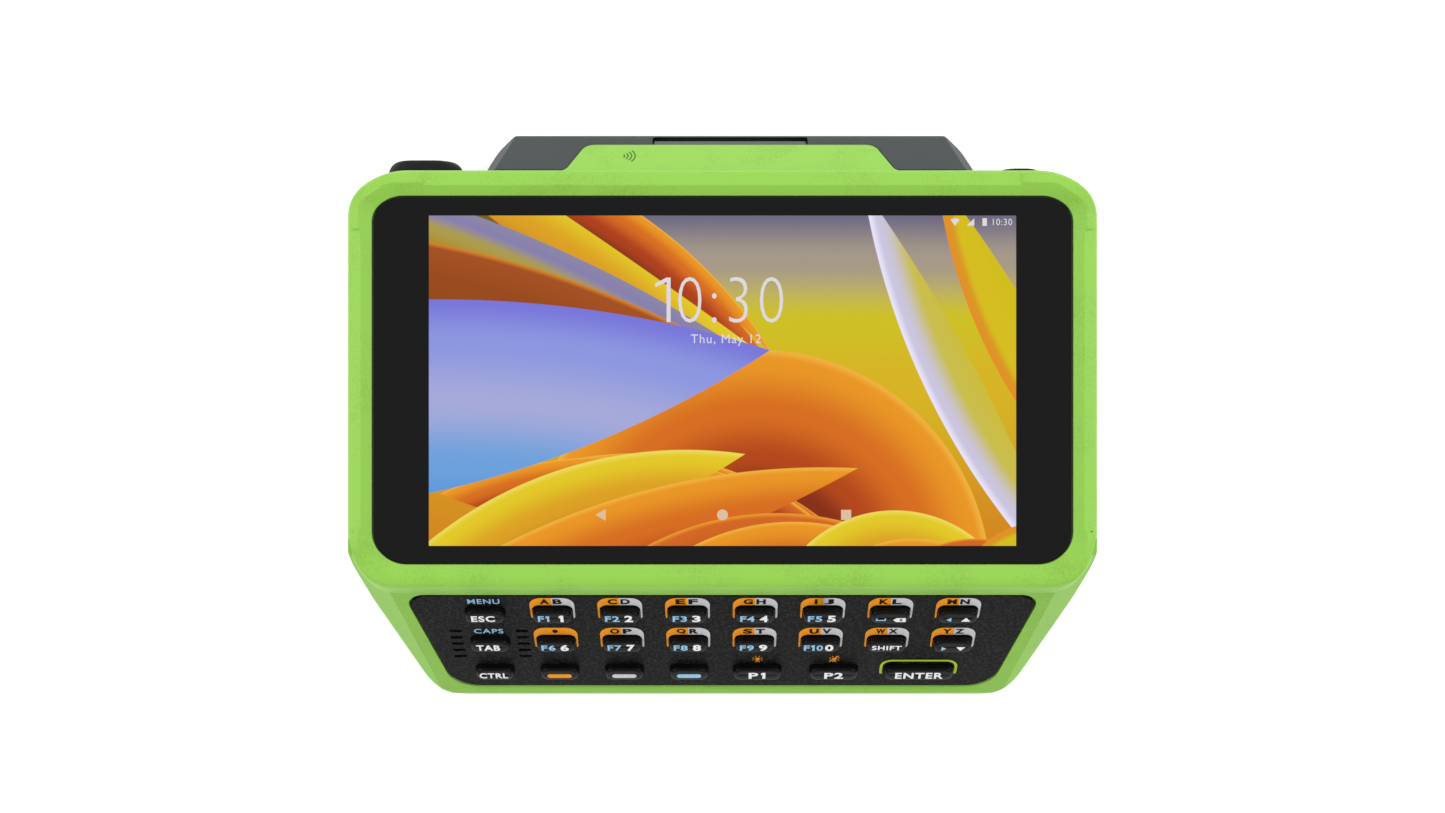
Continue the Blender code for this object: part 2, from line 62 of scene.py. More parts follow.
def shader_of(name, colour, roughness, **settings):
    """A new material with the values that are the same all over its surface."""
    made = bpy.data.materials.new(name)
    made.use_nodes = True
    shader = made.node_tree.nodes["Principled BSDF"]
    shader.inputs["Base Color"].default_value = linear(colour)
    shader.inputs["Roughness"].default_value = roughness
    for key, value in settings.items():
        shader.inputs[key.replace("_", " ")].default_value = value
    return made


def add(material, kind, links=None, **settings):
    """Adds one node, sets its inputs or properties, and links its inputs to other nodes' sockets."""
    tree = material.node_tree
    made = tree.nodes.new(kind)
    for key, value in settings.items():
        if hasattr(made, key):
            setattr(made, key, value)
        else:
            made.inputs[key.replace("_", " ")].default_value = value
    for key, socket in (links or {}).items():
        tree.links.new(socket, made.inputs[key])
    return made


def plug(material, name, socket):
    """Links a socket to one of the principled shader's inputs."""
    material.node_tree.links.new(socket, material.node_tree.nodes["Principled BSDF"].inputs[name])


def area_light(name, place, size, power):
    """A rectangular soft light that faces the origin."""
    light = bpy.data.objects.new(name, bpy.data.lights.new(name, "AREA"))
    light.data.shape = "RECTANGLE"
    light.data.size, light.data.size_y = size
    light.data.energy = power
    light.location = place
    light.rotation_euler = (-Vector(place)).to_track_quat("-Z", "Y").to_euler()
    bpy.context.scene.collection.objects.link(light)


area_light("softbox_behind", (0.0, 0.55, 0.5), (0.9, 0.5), 1.65)
area_light("softbox_left", (-0.6, 0.05, 0.45), (0.5, 0.5), 2.2)
area_light("softbox_right", (0.6, 0.05, 0.45), (0.5, 0.5), 2.2)
area_light("softbox_front", (0.0, -0.6, 0.35), (0.8, 0.4), 0.38)

world = bpy.data.worlds.new("studio")
world.use_nodes = True
world.node_tree.nodes["Background"].inputs["Color"].default_value = linear("ffffff")
world.node_tree.nodes["Background"].inputs["Strength"].default_value = 0.42
bpy.context.scene.world = world

floor_mesh = bpy.data.meshes.new("floor")
flat = bmesh.new()
bmesh.ops.create_grid(flat, x_segments=1, y_segments=1, size=3.0)
flat.to_mesh(floor_mesh)
flat.free()
floor = bpy.data.objects.new("floor", floor_mesh)
floor.location.z = -0.0002
bpy.context.scene.collection.objects.link(floor)
floor_white = shader_of("pale_floor", "ffffff", 0.9, Emission_Strength=0.35)
floor_white.node_tree.nodes["Principled BSDF"].inputs["Emission Color"].default_value = linear("ffffff")
floor_mesh.materials.append(floor_white)


# --- Green bumper frame: the screen surround --------------------------------------------------------
# The surround is the upper part of a rigid frame over-moulded in green TPU. A ring of sections runs
# up the outer wall, over a soft crest and down to the glass, with proud pads on the four corners.
def noise(material, size, detail):
    """A noise pattern in the piece's own coordinates, its size in mm."""
    place = add(material, "ShaderNodeTexCoord")
    links = {"Vector": place.outputs["Object"]}
    return add(material, "ShaderNodeTexNoise", links, Scale=1 / (size * MM), Detail=detail).outputs["Fac"]


def tint(material, factor, stops):
    """Colours a material by a factor: each stop is a position, a hex colour and a brightness."""
    ramp = add(material, "ShaderNodeValToRGB", {"Fac": factor})
    for element, (position, colour, share) in zip(ramp.color_ramp.elements, stops):
        element.position = position
        element.color = [c * share for c in linear(colour)[:3]] + [1.0]
    plug(material, "Base Color", ramp.outputs["Color"])


def vary_gloss(material, factor, low, high):
    """Lets the roughness follow a factor between two values."""
    rough = add(material, "ShaderNodeMapRange", {"Value": factor}, To_Min=low, To_Max=high)
    plug(material, "Roughness", rough.outputs["Result"])


def emboss(material, factor, strength, depth):
    """Bumps the surface by a factor, its depth in mm."""
    bump = add(material, "ShaderNodeBump", {"Height": factor}, Strength=strength, Distance=depth * MM)
    plug(material, "Normal", bump.outputs["Normal"])


def moulded(name, colour, roughness, grain, depth, contrast):
    """Moulded plastic: a spark-eroded grain of the given size in mm, with a faint tone change."""
    made = shader_of(name, colour, roughness, Specular_IOR_Level=0.32)
    speck = noise(made, grain, 3.0)
    cloud = noise(made, 9.0, 2.0)
    mix = add(made, "ShaderNodeMath", {0: speck, 1: cloud}, operation="ADD")
    tint(made, mix.outputs[0], [(0.6, colour, 1 - contrast), (1.0, colour, 1 + contrast)])
    vary_gloss(made, cloud, roughness - 0.05, roughness + 0.05)
    emboss(made, speck, 0.35, depth)
    return made


green = moulded("green_tpu", "91ca4c", 0.5, 0.4, 0.05, 0.09)

BODY_HALF = [(55.1, -53.25, 6.8), (64.1, -32.25, 20.0), (66.9, -25.4, 10.0)]
SEAM = 0.22
SEAM_LOW = -19.2
SEAM_HIGH = 34.05
SEAM_X = 53.0
WALL_FOOT_Z = 25.3
WALL_LEAN = 0.357
PAD_RISE = 0.3
PAD_SPREAD = 0.45
ARC_STEPS = 8


def mirrored(half):
    """The whole outline of a shape whose right half is given from the bottom up."""
    return half + [(-x, y, radius) for x, y, radius in reversed(half)]


def offset(corners, distance):
    """The outline moved inwards by a distance, its radii following."""
    moved = []
    for i, (x, y, radius) in enumerate(corners):
        here = Vector((x, y))
        into = (here - Vector(corners[i - 1][:2])).normalized()
        out = (Vector(corners[(i + 1) % len(corners)][:2]) - here).normalized()
        turn = math.atan2(into.x * out.y - into.y * out.x, into.dot(out))
        inward = Vector((-into.y, into.x)) + Vector((-out.y, out.x))
        shift = inward.normalized() * distance / math.cos(turn / 2)
        new_radius = max(radius - math.copysign(distance, turn), 0.1) if radius else 0.0
        moved.append((x + shift.x, y + shift.y, new_radius))
    return moved


def rounded(corners, steps=ARC_STEPS):
    """Points round an outline, with an arc of so many steps at each corner that has a radius."""
    points = []
    for i, (x, y, radius) in enumerate(corners):
        here = Vector((x, y))
        back = (Vector(corners[i - 1][:2]) - here).normalized()
        ahead = (Vector(corners[(i + 1) % len(corners)][:2]) - here).normalized()
        half = back.angle(ahead) / 2
        if not radius:
            points.append((x, y))
            continue
        centre = here + (back + ahead).normalized() * radius / math.sin(half)
        first = here + back * radius / math.tan(half) - centre
        last = here + ahead * radius / math.tan(half) - centre
        start = math.atan2(first.y, first.x)
        sweep = math.remainder(math.atan2(last.y, last.x) - start, 2 * math.pi)
        for step in range(steps + 1):
            angle = start + sweep * step / steps
            points.append((centre.x + radius * math.cos(angle), centre.y + radius * math.sin(angle)))
    return points


def box_outline(wide, high, radius=0.0, x=0.0, y=0.0):
    return [(x + i * wide / 2, y + j * high / 2, radius) for i, j in [(-1, -1), (1, -1), (1, 1), (-1, 1)]]


def carry(shape, sections, ring=False):
    """Extrudes a loop of edges through sections of equal count; caps the ends or closes the ring."""
    loop = [shape.verts.new(Vector(p) * MM) for p in sections[0]]
    edges = [shape.edges.new((a, b)) for a, b in zip(loop, loop[1:] + loop[:1])]
    first = list(edges)
    for section in sections[1:] + ([sections[0]] if ring else []):
        made = bmesh.ops.extrude_edge_only(shape, edges=edges)["geom"]
        edges = [e for e in made if isinstance(e, bmesh.types.BMEdge)]
        at = {tuple(v.co): v for v in made if isinstance(v, bmesh.types.BMVert)}
        loop = [at[tuple(v.co)] for v in loop]
        for vert, point in zip(loop, section):
            vert.co = Vector(point) * MM
    if ring:
        bmesh.ops.remove_doubles(shape, verts=shape.verts, dist=1e-7)
    else:
        bmesh.ops.edgeloop_fill(shape, edges=first)
        bmesh.ops.edgeloop_fill(shape, edges=edges)
    bmesh.ops.recalc_face_normals(shape, faces=shape.faces)


def settle(piece, sharp=32.0):
    """Smooth-shades a piece so that its flat faces stay flat and only its rounded edges turn."""
    piece.data.shade_smooth()
    piece.data.set_sharp_from_angle(angle=math.radians(sharp))
    modifier = piece.modifiers.new("flat_faces", "WEIGHTED_NORMAL")
    modifier.weight = 100
    modifier.keep_sharp = True
    return applied(piece)


def applied(piece):
    """Takes a piece's modifiers into its mesh."""
    bpy.context.view_layer.update()
    mesh = bpy.data.meshes.new_from_object(piece.evaluated_get(bpy.context.evaluated_depsgraph_get()))
    mesh.name = piece.name
    piece.modifiers.clear()
    piece.data = mesh
    return piece


def finished(name, shape, materials, place=Matrix.Identity(4), sharp=32.0):
    """Turns a bmesh into a smooth-shaded object whose place is in its mesh."""
    mesh = bpy.data.meshes.new(name)
    shape.transform(place)
    shape.to_mesh(mesh)
    shape.free()
    for material in materials:
        mesh.materials.append(material)
    made = bpy.data.objects.new(name, mesh)
    bpy.context.scene.collection.objects.link(made)
    return settle(made, sharp)


def ring_half(z):
    """Right half of the surround's outline at a height: its lower wall leans inwards as it rises."""
    lean = WALL_LEAN * max(0.0, z - WALL_FOOT_Z)
    low, high = SEAM_LOW, SEAM_HIGH
    return [
        (61.9, -30.9 + lean, 7.5),
        (66.9, -24.6 + lean, 11.0),
        (66.9, low - SEAM, 0.0),
        (66.9, low + SEAM, 0.0),
        (66.9, high - SEAM, 0.0),
        (66.9, high + SEAM, 0.0),
        (66.9, 40.25, 7.4),
        (60.3, 45.05, 13.0),
        (SEAM_X + SEAM, 45.05, 0.0),
        (SEAM_X - SEAM, 45.05, 0.0),
    ]


OPENING_HALF = [(58.35, -25.23, 6.2), (62.15, -21.83, 5.5), (62.15, 37.6, 4.1), (58.55, 40.1, 6.3)]


def opening_half():
    """Right half of the glass opening, with the same points between its corners as the surround."""
    low, high = SEAM_LOW, SEAM_HIGH
    side = [(62.15, y, 0.0) for y in (low - SEAM, low + SEAM, high - SEAM, high + SEAM)]
    top = [(x, 40.1, 0.0) for x in (SEAM_X + SEAM, SEAM_X - SEAM)]
    return OPENING_HALF[:2] + side + OPENING_HALF[2:] + top


def blend_share(value, low, high):
    share = min(1.0, max(0.0, (value - low) / (high - low)))
    return share * share * (3 - 2 * share)


def surround_section(side, bottom, pad, low_edge=False):
    """One section, as (outline, offset, height) on the sides and along the lower bar."""
    outlines = []
    for kind, distance, height in (side, bottom):
        base = mirrored(ring_half(height) if kind == "ring" else opening_half())
        outlines.append((rounded(offset(base, distance)), height))
    plain = rounded(mirrored(ring_half(0.0)))
    points = []
    for i, (x, y) in enumerate(plain):
        down = blend_share(-y, 23.0, 30.0)
        corner = (y > SEAM_HIGH and abs(x) > SEAM_X) or (y < SEAM_LOW)
        rise = pad * PAD_RISE * (1 - down) if corner else 0.0
        (sx, sy), (bx, by) = outlines[0][0][i], outlines[1][0][i]
        z = outlines[0][1] * (1 - down) + outlines[1][1] * down + rise
        if low_edge:
            z = 23.3 if y > 40.5 else 9.3 + 14.0 * blend_share(y, 38.2, 40.5)
            z = 24.6 if y < -21.5 else z
        outward = Vector((plain[i][0] - sx, plain[i][1] - sy))
        shift = Vector((0.0, 0.0))
        if corner and side[0] == "open":
            shift = outward.normalized() * pad * PAD_SPREAD * (1 - down)
        points.append((sx * (1 - down) + bx * down + shift.x, sy * (1 - down) + by * down + shift.y, z))
    return points


SECTIONS = [
    (("ring", 0.0, 9.3), ("ring", 0.0, 24.6), 0.0, True),
    (("ring", 0.05, 22.0), ("ring", 0.0, 26.0), 0.0, False),
    (("ring", 0.34, 28.3), ("ring", 0.0, 28.6), 0.0, False),
    (("ring", 0.46, 28.85), ("ring", 0.05, 29.3), 0.2, False),
    (("ring", 0.7, 29.28), ("ring", 0.16, 29.8), 0.6, False),
    (("ring", 1.05, 29.54), ("ring", 0.36, 30.06), 1.0, False),
    (("ring", 1.5, 29.7), ("ring", 0.7, 30.18), 1.0, False),
    (("open", -2.15, 30.08), ("open", -2.42, 30.2), 1.0, False),
    (("open", -1.8, 30.2), ("open", -2.0, 30.16), 1.0, False),
    (("open", -1.5, 30.12), ("open", -1.5, 30.0), 0.9, False),
    (("open", -0.3, 29.42), ("open", -0.3, 29.42), 0.2, False),
    (("open", -0.06, 29.27), ("open", -0.06, 29.27), 0.0, False),
    (("open", 0.0, 29.1), ("open", 0.0, 29.1), 0.0, False),
    (("open", 0.0, 27.0), ("open", 0.0, 27.0), 0.0, False),
    (("open", 2.0, 27.0), ("open", 2.0, 27.0), 0.0, False),
    (("open", 2.0, 25.4), ("open", 2.0, 25.4), 0.0, False),
    (("ring", 2.2, 25.4), ("ring", 2.2, 25.4), 0.0, False),
    (("ring", 2.2, 9.3), ("ring", 2.2, 24.6), 0.0, True),
]
surround = bmesh.new()
carry(surround, [surround_section(*entry) for entry in SECTIONS], ring=True)
bumper = finished("bumper_surround", surround, [green])
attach(bumper, "housing")
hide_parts("bumper_frame")


# --- Green bumper frame: the keypad's rim -----------------------------------------------------------
# The lower body is moulded with the surround. Its walls follow the plan outline, its top is the
# sloping keypad face, and a facet that widens towards the screen runs down each side. Its green is
# painted darker than the surround's, as painted shade where the shell leans away from the light.
SLOPE = math.radians(47.0)
PAD_TOP_Y = -33.42
PAD_TOP_Z = 22.6
PAD_PLACE = Matrix.Translation(Vector((0.0, PAD_TOP_Y, PAD_TOP_Z)) * MM)
PAD_FRAME = PAD_PLACE @ Matrix.Rotation(SLOPE, 4, "X")
SLOPE_NORMAL = Vector((0.0, -math.sin(SLOPE), math.cos(SLOPE)))
PANEL_HALF = [(51.4, -25.8, 6.2), (57.1, 3.1, 3.4)]
PANEL_THICK = 1.2
GAP = 0.3
FAR = 99.0
BACK_HIGH = 23.0
REAR_PROFILE = [(90.0, BACK_HIGH), (40.5, BACK_HIGH), (38.2, 9.0), (-26.0, 9.0)]
REAR_PROFILE += [(-44.5, 2.2), (-44.5, -45.0), (90.0, -45.0)]
SIDE_FRAME = Matrix(((0, 0, 1, 0), (1, 0, 0, 0), (0, 1, 0, 0), (0, 0, 0, 1)))
FACET_TILT = math.radians(30.0)
LIP_TILT = math.radians(28.0)
LIP_Y = -52.72


def slope_point(x, y):
    """The point of the keypad's plane at a place of the plan."""
    return Vector((x, y, PAD_TOP_Z + (y - PAD_TOP_Y) * math.tan(SLOPE)))


def prism(shape, points, low, high):
    """A flat outline raised from one height to another."""
    face = shape.faces.new([shape.verts.new(Vector((x, y, low)) * MM) for x, y in points])
    raised = bmesh.ops.extrude_face_region(shape, geom=[face])["geom"]
    tops = [v for v in raised if isinstance(v, bmesh.types.BMVert)]
    bmesh.ops.translate(shape, verts=tops, vec=(0, 0, (high - low) * MM))
    bmesh.ops.recalc_face_normals(shape, faces=shape.faces)


def slice_off(shape, point, normal):
    """Cuts away what lies beyond a plane and closes the cut."""
    everything = shape.verts[:] + shape.edges[:] + shape.faces[:]
    cut = bmesh.ops.bisect_plane(
        shape, geom=everything, plane_co=Vector(point) * MM, plane_no=normal, clear_outer=True, dist=1e-7
    )
    open_edges = [e for e in cut["geom_cut"] if isinstance(e, bmesh.types.BMEdge)]
    bmesh.ops.edgeloop_fill(shape, edges=open_edges)


def soften(shape, width, segments, least=15.0, above=-1.0):
    """Bevels the edges that turn by more than an angle and lie above a height."""
    bmesh.ops.dissolve_limit(shape, angle_limit=math.radians(0.5), verts=shape.verts, edges=shape.edges)
    chosen = []
    for edge in shape.edges:
        turns = len(edge.link_faces) == 2 and edge.calc_face_angle() > math.radians(least)
        if turns and min(v.co.z for v in edge.verts) > above * MM:
            chosen.append(edge)
    bmesh.ops.bevel(
        shape, geom=chosen, offset=width * MM, affect="EDGES", segments=segments,
        profile=0.5, material=-1, clamp_overlap=True,
    )


def boolean(target, shape, place, operation):
    """Cuts or joins another shape, given in its own frame, with an exact Boolean."""
    other = finished("other", shape, [], place)
    modifier = target.modifiers.new(operation, "BOOLEAN")
    modifier.operation = operation
    modifier.solver = "EXACT"
    modifier.object = other
    applied(target)
    bpy.data.objects.remove(other)
    return settle(target)


def carve(target, points, low, high, place=Matrix.Identity(4), operation="DIFFERENCE"):
    shape = bmesh.new()
    prism(shape, points, low, high)
    return boolean(target, shape, place, operation)


# Painted shade: the surround's green made darker for the keypad rim, which leans away from the light; the
# real moulding is one green.
rim_green_painted_shade = moulded("green_tpu_painted_shade", "89c046", 0.5, 0.4, 0.05, 0.09)
lower = bmesh.new()
wedge_half = [(55.1, -53.25, 8.6), BODY_HALF[1], (66.35, -25.2, 12.0), (66.35, -20.6, 0.0)]
prism(lower, rounded(mirrored(wedge_half), 10), 0.0, 40.0)
slice_off(lower, (0.0, 0.0, 29.3), (0, 0, 1))
slice_off(lower, slope_point(0.0, PAD_TOP_Y), SLOPE_NORMAL)
for side in (-1, 1):
    foot = slope_point(side * 54.75, -49.75)
    head = slope_point(side * 59.6, -31.0)
    outward = (head - foot).normalized().cross(SLOPE_NORMAL) * side
    normal = SLOPE_NORMAL * math.cos(FACET_TILT) + outward * math.sin(FACET_TILT)
    slice_off(lower, foot, normal)
lip_normal = Matrix.Rotation(LIP_TILT, 3, "X") @ SLOPE_NORMAL
slice_off(lower, slope_point(0.0, LIP_Y), lip_normal)
soften(lower, 0.55, 4, least=12.0, above=0.2)
rim = finished("keypad_rim", lower, [rim_green_painted_shade])
panel_outline = mirrored(PANEL_HALF)
carve(rim, rounded(offset(panel_outline, -GAP)), -PANEL_THICK - GAP, 20.0, PAD_FRAME)
carve(rim, rounded(offset(panel_outline, 1.2)), -9.0, 20.0, PAD_FRAME)
carve(rim, rounded(offset(mirrored(OPENING_HALF), -1.6)), -1.0, 40.0)
carve(rim, REAR_PROFILE, -FAR, FAR, SIDE_FRAME)
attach(rim, "housing")


# --- Green bumper frame: the tab on the hump --------------------------------------------------------
# A tongue of the same green shell that runs down the hump's front slope, a hair proud of it. It
# carries printed contactless arcs, because the antenna lies underneath.
HUMP_SLOPE = math.radians(48.0)
HUMP_FRAME = Matrix.Translation(Vector((1.4, 45.52, 23.2)) * MM) @ Matrix.Rotation(-HUMP_SLOPE, 4, "X")
TAB_HALF = [(33.0, -3.0, 0.0), (32.4, -0.6, 0.0), (30.0, -0.6, 2.4), (26.6, 8.15, 2.5)]
TAB_THICK = 1.2
TAB_PROUD = 0.15
ARC_RADII = (0.7, 1.35, 2.0, 2.65)
ARC_LINE = 0.24
ARC_SPREAD = math.radians(84.0)

tongue = bmesh.new()
prism(tongue, rounded(mirrored(TAB_HALF), 10), -TAB_THICK, TAB_PROUD)
soften(tongue, 0.14, 3, least=60.0, above=-0.5)
tab = finished("hump_tab", tongue, [green], HUMP_FRAME)
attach(tab, "housing")


def ink(name, colour):
    """Screen-printed ink: one even tone, a little thinner and duller here and there."""
    made = shader_of(name, colour, 0.45, Specular_IOR_Level=0.12)
    cloud = noise(made, 0.6, 3.0)
    tint(made, cloud, [(0.3, colour, 0.9), (0.6, colour, 1.0)])
    vary_gloss(made, cloud, 0.37, 0.53)
    return made


def arc_band(radius, x, y):
    """The outline of a thin bent bar round a centre: part of a circle, with a width."""
    outer, inner = [], []
    for i in range(13):
        angle = ARC_SPREAD * (i / 12 - 0.5)
        for side, far in ((outer, radius + ARC_LINE / 2), (inner, radius - ARC_LINE / 2)):
            side.append((x + far * math.cos(angle), y + far * math.sin(angle)))
    return outer + inner[::-1]


waves = bmesh.new()
for radius in ARC_RADII:
    prism(waves, arc_band(radius, -20.0, 4.3), TAB_PROUD, TAB_PROUD + 0.03)
mark = finished("contactless_arcs", waves, [ink("dark_green_ink", "4f7a2c")], HUMP_FRAME)
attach(mark, "housing")


# --- Rear shell -------------------------------------------------------------------------------------
# One slate-grey moulding: the back with its stepped joint to the green frame, the battery hump, the
# bay that is open at the top end, the latch recess, the button holes and the dock contacts' seat.
slate = moulded("slate_polycarbonate", "3a4042", 0.52, 0.35, 0.035, 0.1)

BODY_TOP_HALF = [(66.9, 40.25, 7.4), (60.3, 45.05, 13.0)]
BACK_FRAME = Matrix(((-1, 0, 0, 0), (0, 0, 1, 0), (0, 1, 0, 0), (0, 0, 0, 1)))
HUMP_X = 1.4
HUMP_END = 53.2
HUMP_HALF = [(44.6, 40.0, 0.0), (44.6, 45.4, 6.0), (42.9, 50.0, 7.0), (40.0, HUMP_END, 2.2)]
HUMP_EDGE_Z = 14.76
HUMP_PROFILE = [(30.0, 0.0, 0.0), (50.75, 0.0, 1.5), (HUMP_END, 2.5, 1.5)]
HUMP_PROFILE += [(HUMP_END, HUMP_EDGE_Z, 2.4), (45.7, BACK_HIGH, 0.0), (30.0, BACK_HIGH, 0.0)]
HUMP_SIDE_TILT = math.radians(38.0)
BAY = ((-36.3, -14.0, 1.5), (36.3, 90.0, 12.3))
LATCH_SIZE = (28.3, 1.9)
LATCH_T = 9.55
TRIGGER = (-54.6, 17.4, 13.7, 8.4, 47.65)
POWER = (54.4, 18.6, 7.7, 5.4, 46.15)
SCREWS = [(-60.3, 34.5), (60.3, 34.5), (-60.3, -17.0), (60.3, -17.0)]


def circle(x, y, radius, sides=32):
    """The corners of a circle's outline."""
    turn = 2 * math.pi / sides
    return [(x + radius * math.cos(turn * i), y + radius * math.sin(turn * i)) for i in range(sides)]


def oblong(wide, high, grow=0.0, x=0.0, y=0.0):
    """The outline of a slot with round ends, widened all round by some distance."""
    return rounded(box_outline(wide + 2 * grow, high + 2 * grow, high / 2 + grow - 0.01, x, y), 12)


back = bmesh.new()
prism(back, rounded(mirrored(BODY_HALF + BODY_TOP_HALF), 10), 0.0, BACK_HIGH)
soften(back, 1.2, 4, least=60.0, above=-1.0)
rear = finished("rear_shell", back, [slate])
carve(rear, REAR_PROFILE, -FAR, FAR, SIDE_FRAME, "INTERSECT")
hump = bmesh.new()
prism(hump, rounded([(HUMP_X + x, y, r) for x, y, r in mirrored(HUMP_HALF)], 8), 0.0, BACK_HIGH)
hump_block = finished("hump", hump, [])
carve(hump_block, rounded(HUMP_PROFILE), -FAR, FAR, SIDE_FRAME, "INTERSECT")
bulge = bmesh.new()
bulge.from_mesh(hump_block.data)
bpy.data.objects.remove(hump_block)
hump_normal = Vector((0.0, math.sin(HUMP_SLOPE), math.cos(HUMP_SLOPE)))
for side in (-1, 1):
    edge_foot = Vector((HUMP_X + side * 42.6, 45.7, BACK_HIGH))
    edge_head = Vector((HUMP_X + side * 39.8, HUMP_END, HUMP_EDGE_Z))
    outward = (edge_head - edge_foot).normalized().cross(hump_normal) * side
    normal = hump_normal * math.cos(HUMP_SIDE_TILT) + outward * math.sin(HUMP_SIDE_TILT)
    slice_off(bulge, edge_foot, normal)
soften(bulge, 0.4, 3, least=24.0, above=-1.0)
boolean(rear, bulge, Matrix.Identity(4), "UNION")
(x0, y0, z0), (x1, y1, z1) = BAY
carve(rear, [(HUMP_X + x, y) for x, y in ((x0, y0), (x1, y0), (x1, y1), (x0, y1))], z0, z1)
room = rounded(offset(mirrored(BODY_HALF + BODY_TOP_HALF), 2.2), 6)
carve(rear, [(x, min(y, 42.6)) for x, y in room], 14.0, 40.0)
carve(rear, rounded(offset(mirrored(TAB_HALF), -0.2), 10), -TAB_THICK, 8.0, HUMP_FRAME)
latch_slot = rounded(box_outline(LATCH_SIZE[0] + 0.4, LATCH_SIZE[1] + 0.5, 0.5, 0.0, LATCH_T))
carve(rear, latch_slot, -3.3, 8.0, HUMP_FRAME)
lip = rounded(box_outline(31.4, 6.0, 0.8, HUMP_X, 9.0))
carve(rear, lip, 50.0, 53.25, BACK_FRAME, "UNION")
for x, z, wide, high, _ in (TRIGGER, POWER):
    carve(rear, oblong(wide, high, 0.25, -x, z), 42.0, 50.0, BACK_FRAME)
for x, y in SCREWS:
    carve(rear, circle(x, y, 2.3), -1.0, 2.9)
carve(rear, rounded(box_outline(28.6, 6.6, 0.6, 0.0, -30.0)), -1.0, 0.7)
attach(rear, "housing")
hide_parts("rear_housing")


# --- Latch bar --------------------------------------------------------------------------------------
# A lighter grey press bar in the hump's recess; pressing it into the hump frees the battery.
latch_grey = moulded("latch_acetal", "5a5d5e", 0.45, 0.3, 0.02, 0.05)
bar = bmesh.new()
prism(bar, rounded(box_outline(LATCH_SIZE[0], LATCH_SIZE[1] - 0.5, 0.4, 0.0, LATCH_T - 0.3), 6), -1.8, -0.2)
soften(bar, 0.25, 3, least=60.0)
latch = finished("latch_bar", bar, [latch_grey], HUMP_FRAME)
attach(latch, "latch")
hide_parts("battery_latch")


# --- Battery pack -----------------------------------------------------------------------------------
# A two-part polycarbonate case round a lithium cell. Its end closes the hump and has a finger
# groove; only that end and the underside are seen until it slides out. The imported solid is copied,
# its faces merged and its edges rounded.
case_shape = bmesh.new()
case_shape.from_mesh(nodes["battery_case"].data)
bmesh.ops.remove_doubles(case_shape, verts=case_shape.verts, dist=1e-6)
bmesh.ops.recalc_face_normals(case_shape, faces=case_shape.faces)
for face in case_shape.faces:
    face.material_index = 0
soften(case_shape, 0.5, 3, least=30.0, above=-1.0)
case = finished("battery_case_moulded", case_shape, [slate])
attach(case, "battery")
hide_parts("battery_case")


# --- Side buttons -----------------------------------------------------------------------------------
# Two soft black buttons in the top wall: the scan trigger on the left and the small power button on
# the right. Each is a moulded rubber cap with a crowned face and a finger dish.
def rubber(name, colour):
    """Moulded silicone rubber: a matt sheen with fine dust-like specks."""
    made = shader_of(name, colour, 0.6, Specular_IOR_Level=0.2, Sheen_Weight=0.05, Sheen_Roughness=0.5)
    speck = noise(made, 0.2, 4.0)
    tint(made, speck, [(0.35, colour, 0.8), (0.7, colour, 1.2)])
    emboss(made, speck, 0.3, 0.02)
    return made


black_rubber = rubber("black_silicone", "121415")


def level(points, z):
    """A flat outline as a section at one height."""
    return [(x, y, z) for x, y in points]


def wall_button(name, node, body, sizes, dome):
    """A crowned cap with a flange inside the wall and a shallow dish; the dome is its crown in mm."""
    x, z, wide, high, end = sizes
    shape = bmesh.new()
    sections = [level(oblong(wide, high, 0.4), 40.0), level(oblong(wide, high, 0.4), 41.4)]
    sections.append(level(oblong(wide, high), 41.4))
    for i in range(11):
        angle = math.pi / 2 * i / 10
        drawn_in = 1 - math.cos(angle)
        outline = [(px * (1 - 0.3 * drawn_in), pz * (1 - 0.2 * drawn_in)) for px, pz in oblong(wide, high)]
        sections.append(level(outline, end - dome + dome * math.sin(angle)))
    sections.append(level([(px * 0.55, pz * 0.6) for px, pz in oblong(wide, high)], end - 0.12))
    carry(shape, sections)
    stand = BACK_FRAME @ Matrix.Translation(Vector((-x, z, 0.0)) * MM)
    made = finished(name, shape, [black_rubber], stand, sharp=50.0)
    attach(made, body)
    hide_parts(node)


wall_button("trigger_cap", "trigger_button", "trigger", TRIGGER, 2.4)
wall_button("power_cap", "power_button", "power", POWER, 0.9)


# --- Touch glass ------------------------------------------------------------------------------------
# Chemically strengthened cover glass, back-printed in black round the display, with a polished
# chamfer. It gives an even, deep black with a weak cool reflection.
cover = shader_of("strengthened_glass", "0b0b0c", 0.12, IOR=1.5, Specular_IOR_Level=0.3)
vary_gloss(cover, noise(cover, 14.0, 4.0), 0.08, 0.16)

pane = bmesh.new()
prism(pane, rounded(offset(mirrored(OPENING_HALF), 0.12), 12), 28.1, 29.2)
soften(pane, 0.2, 2, least=60.0)
glass = finished("cover_glass", pane, [cover])
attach(glass, "housing")
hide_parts("touch_glass")


# --- Display ----------------------------------------------------------------------------------------
# The lit active area of the LCD, bonded to the glass. It shows an abstract picture of overlapping
# petals: each petal lies between two arcs and is shaded from its upper edge inwards.
SCREEN_SIZE = (104.05, 58.53)
SCREEN_Y = 7.32
SCREEN_Z = 29.2
GLOW = 0.93

screen = shader_of("lit_display", "050505", 0.15, Emission_Strength=GLOW, Specular_IOR_Level=0.2)
place = add(screen, "ShaderNodeTexCoord")
flat_mm = add(
    screen, "ShaderNodeMapping", {"Vector": place.outputs["Object"]},
    Scale=(1000.0, 1000.0, 0.0), Location=(0.0, -SCREEN_Y, 0.0),
)
axes = add(screen, "ShaderNodeSeparateXYZ", {"Vector": flat_mm.outputs["Vector"]})


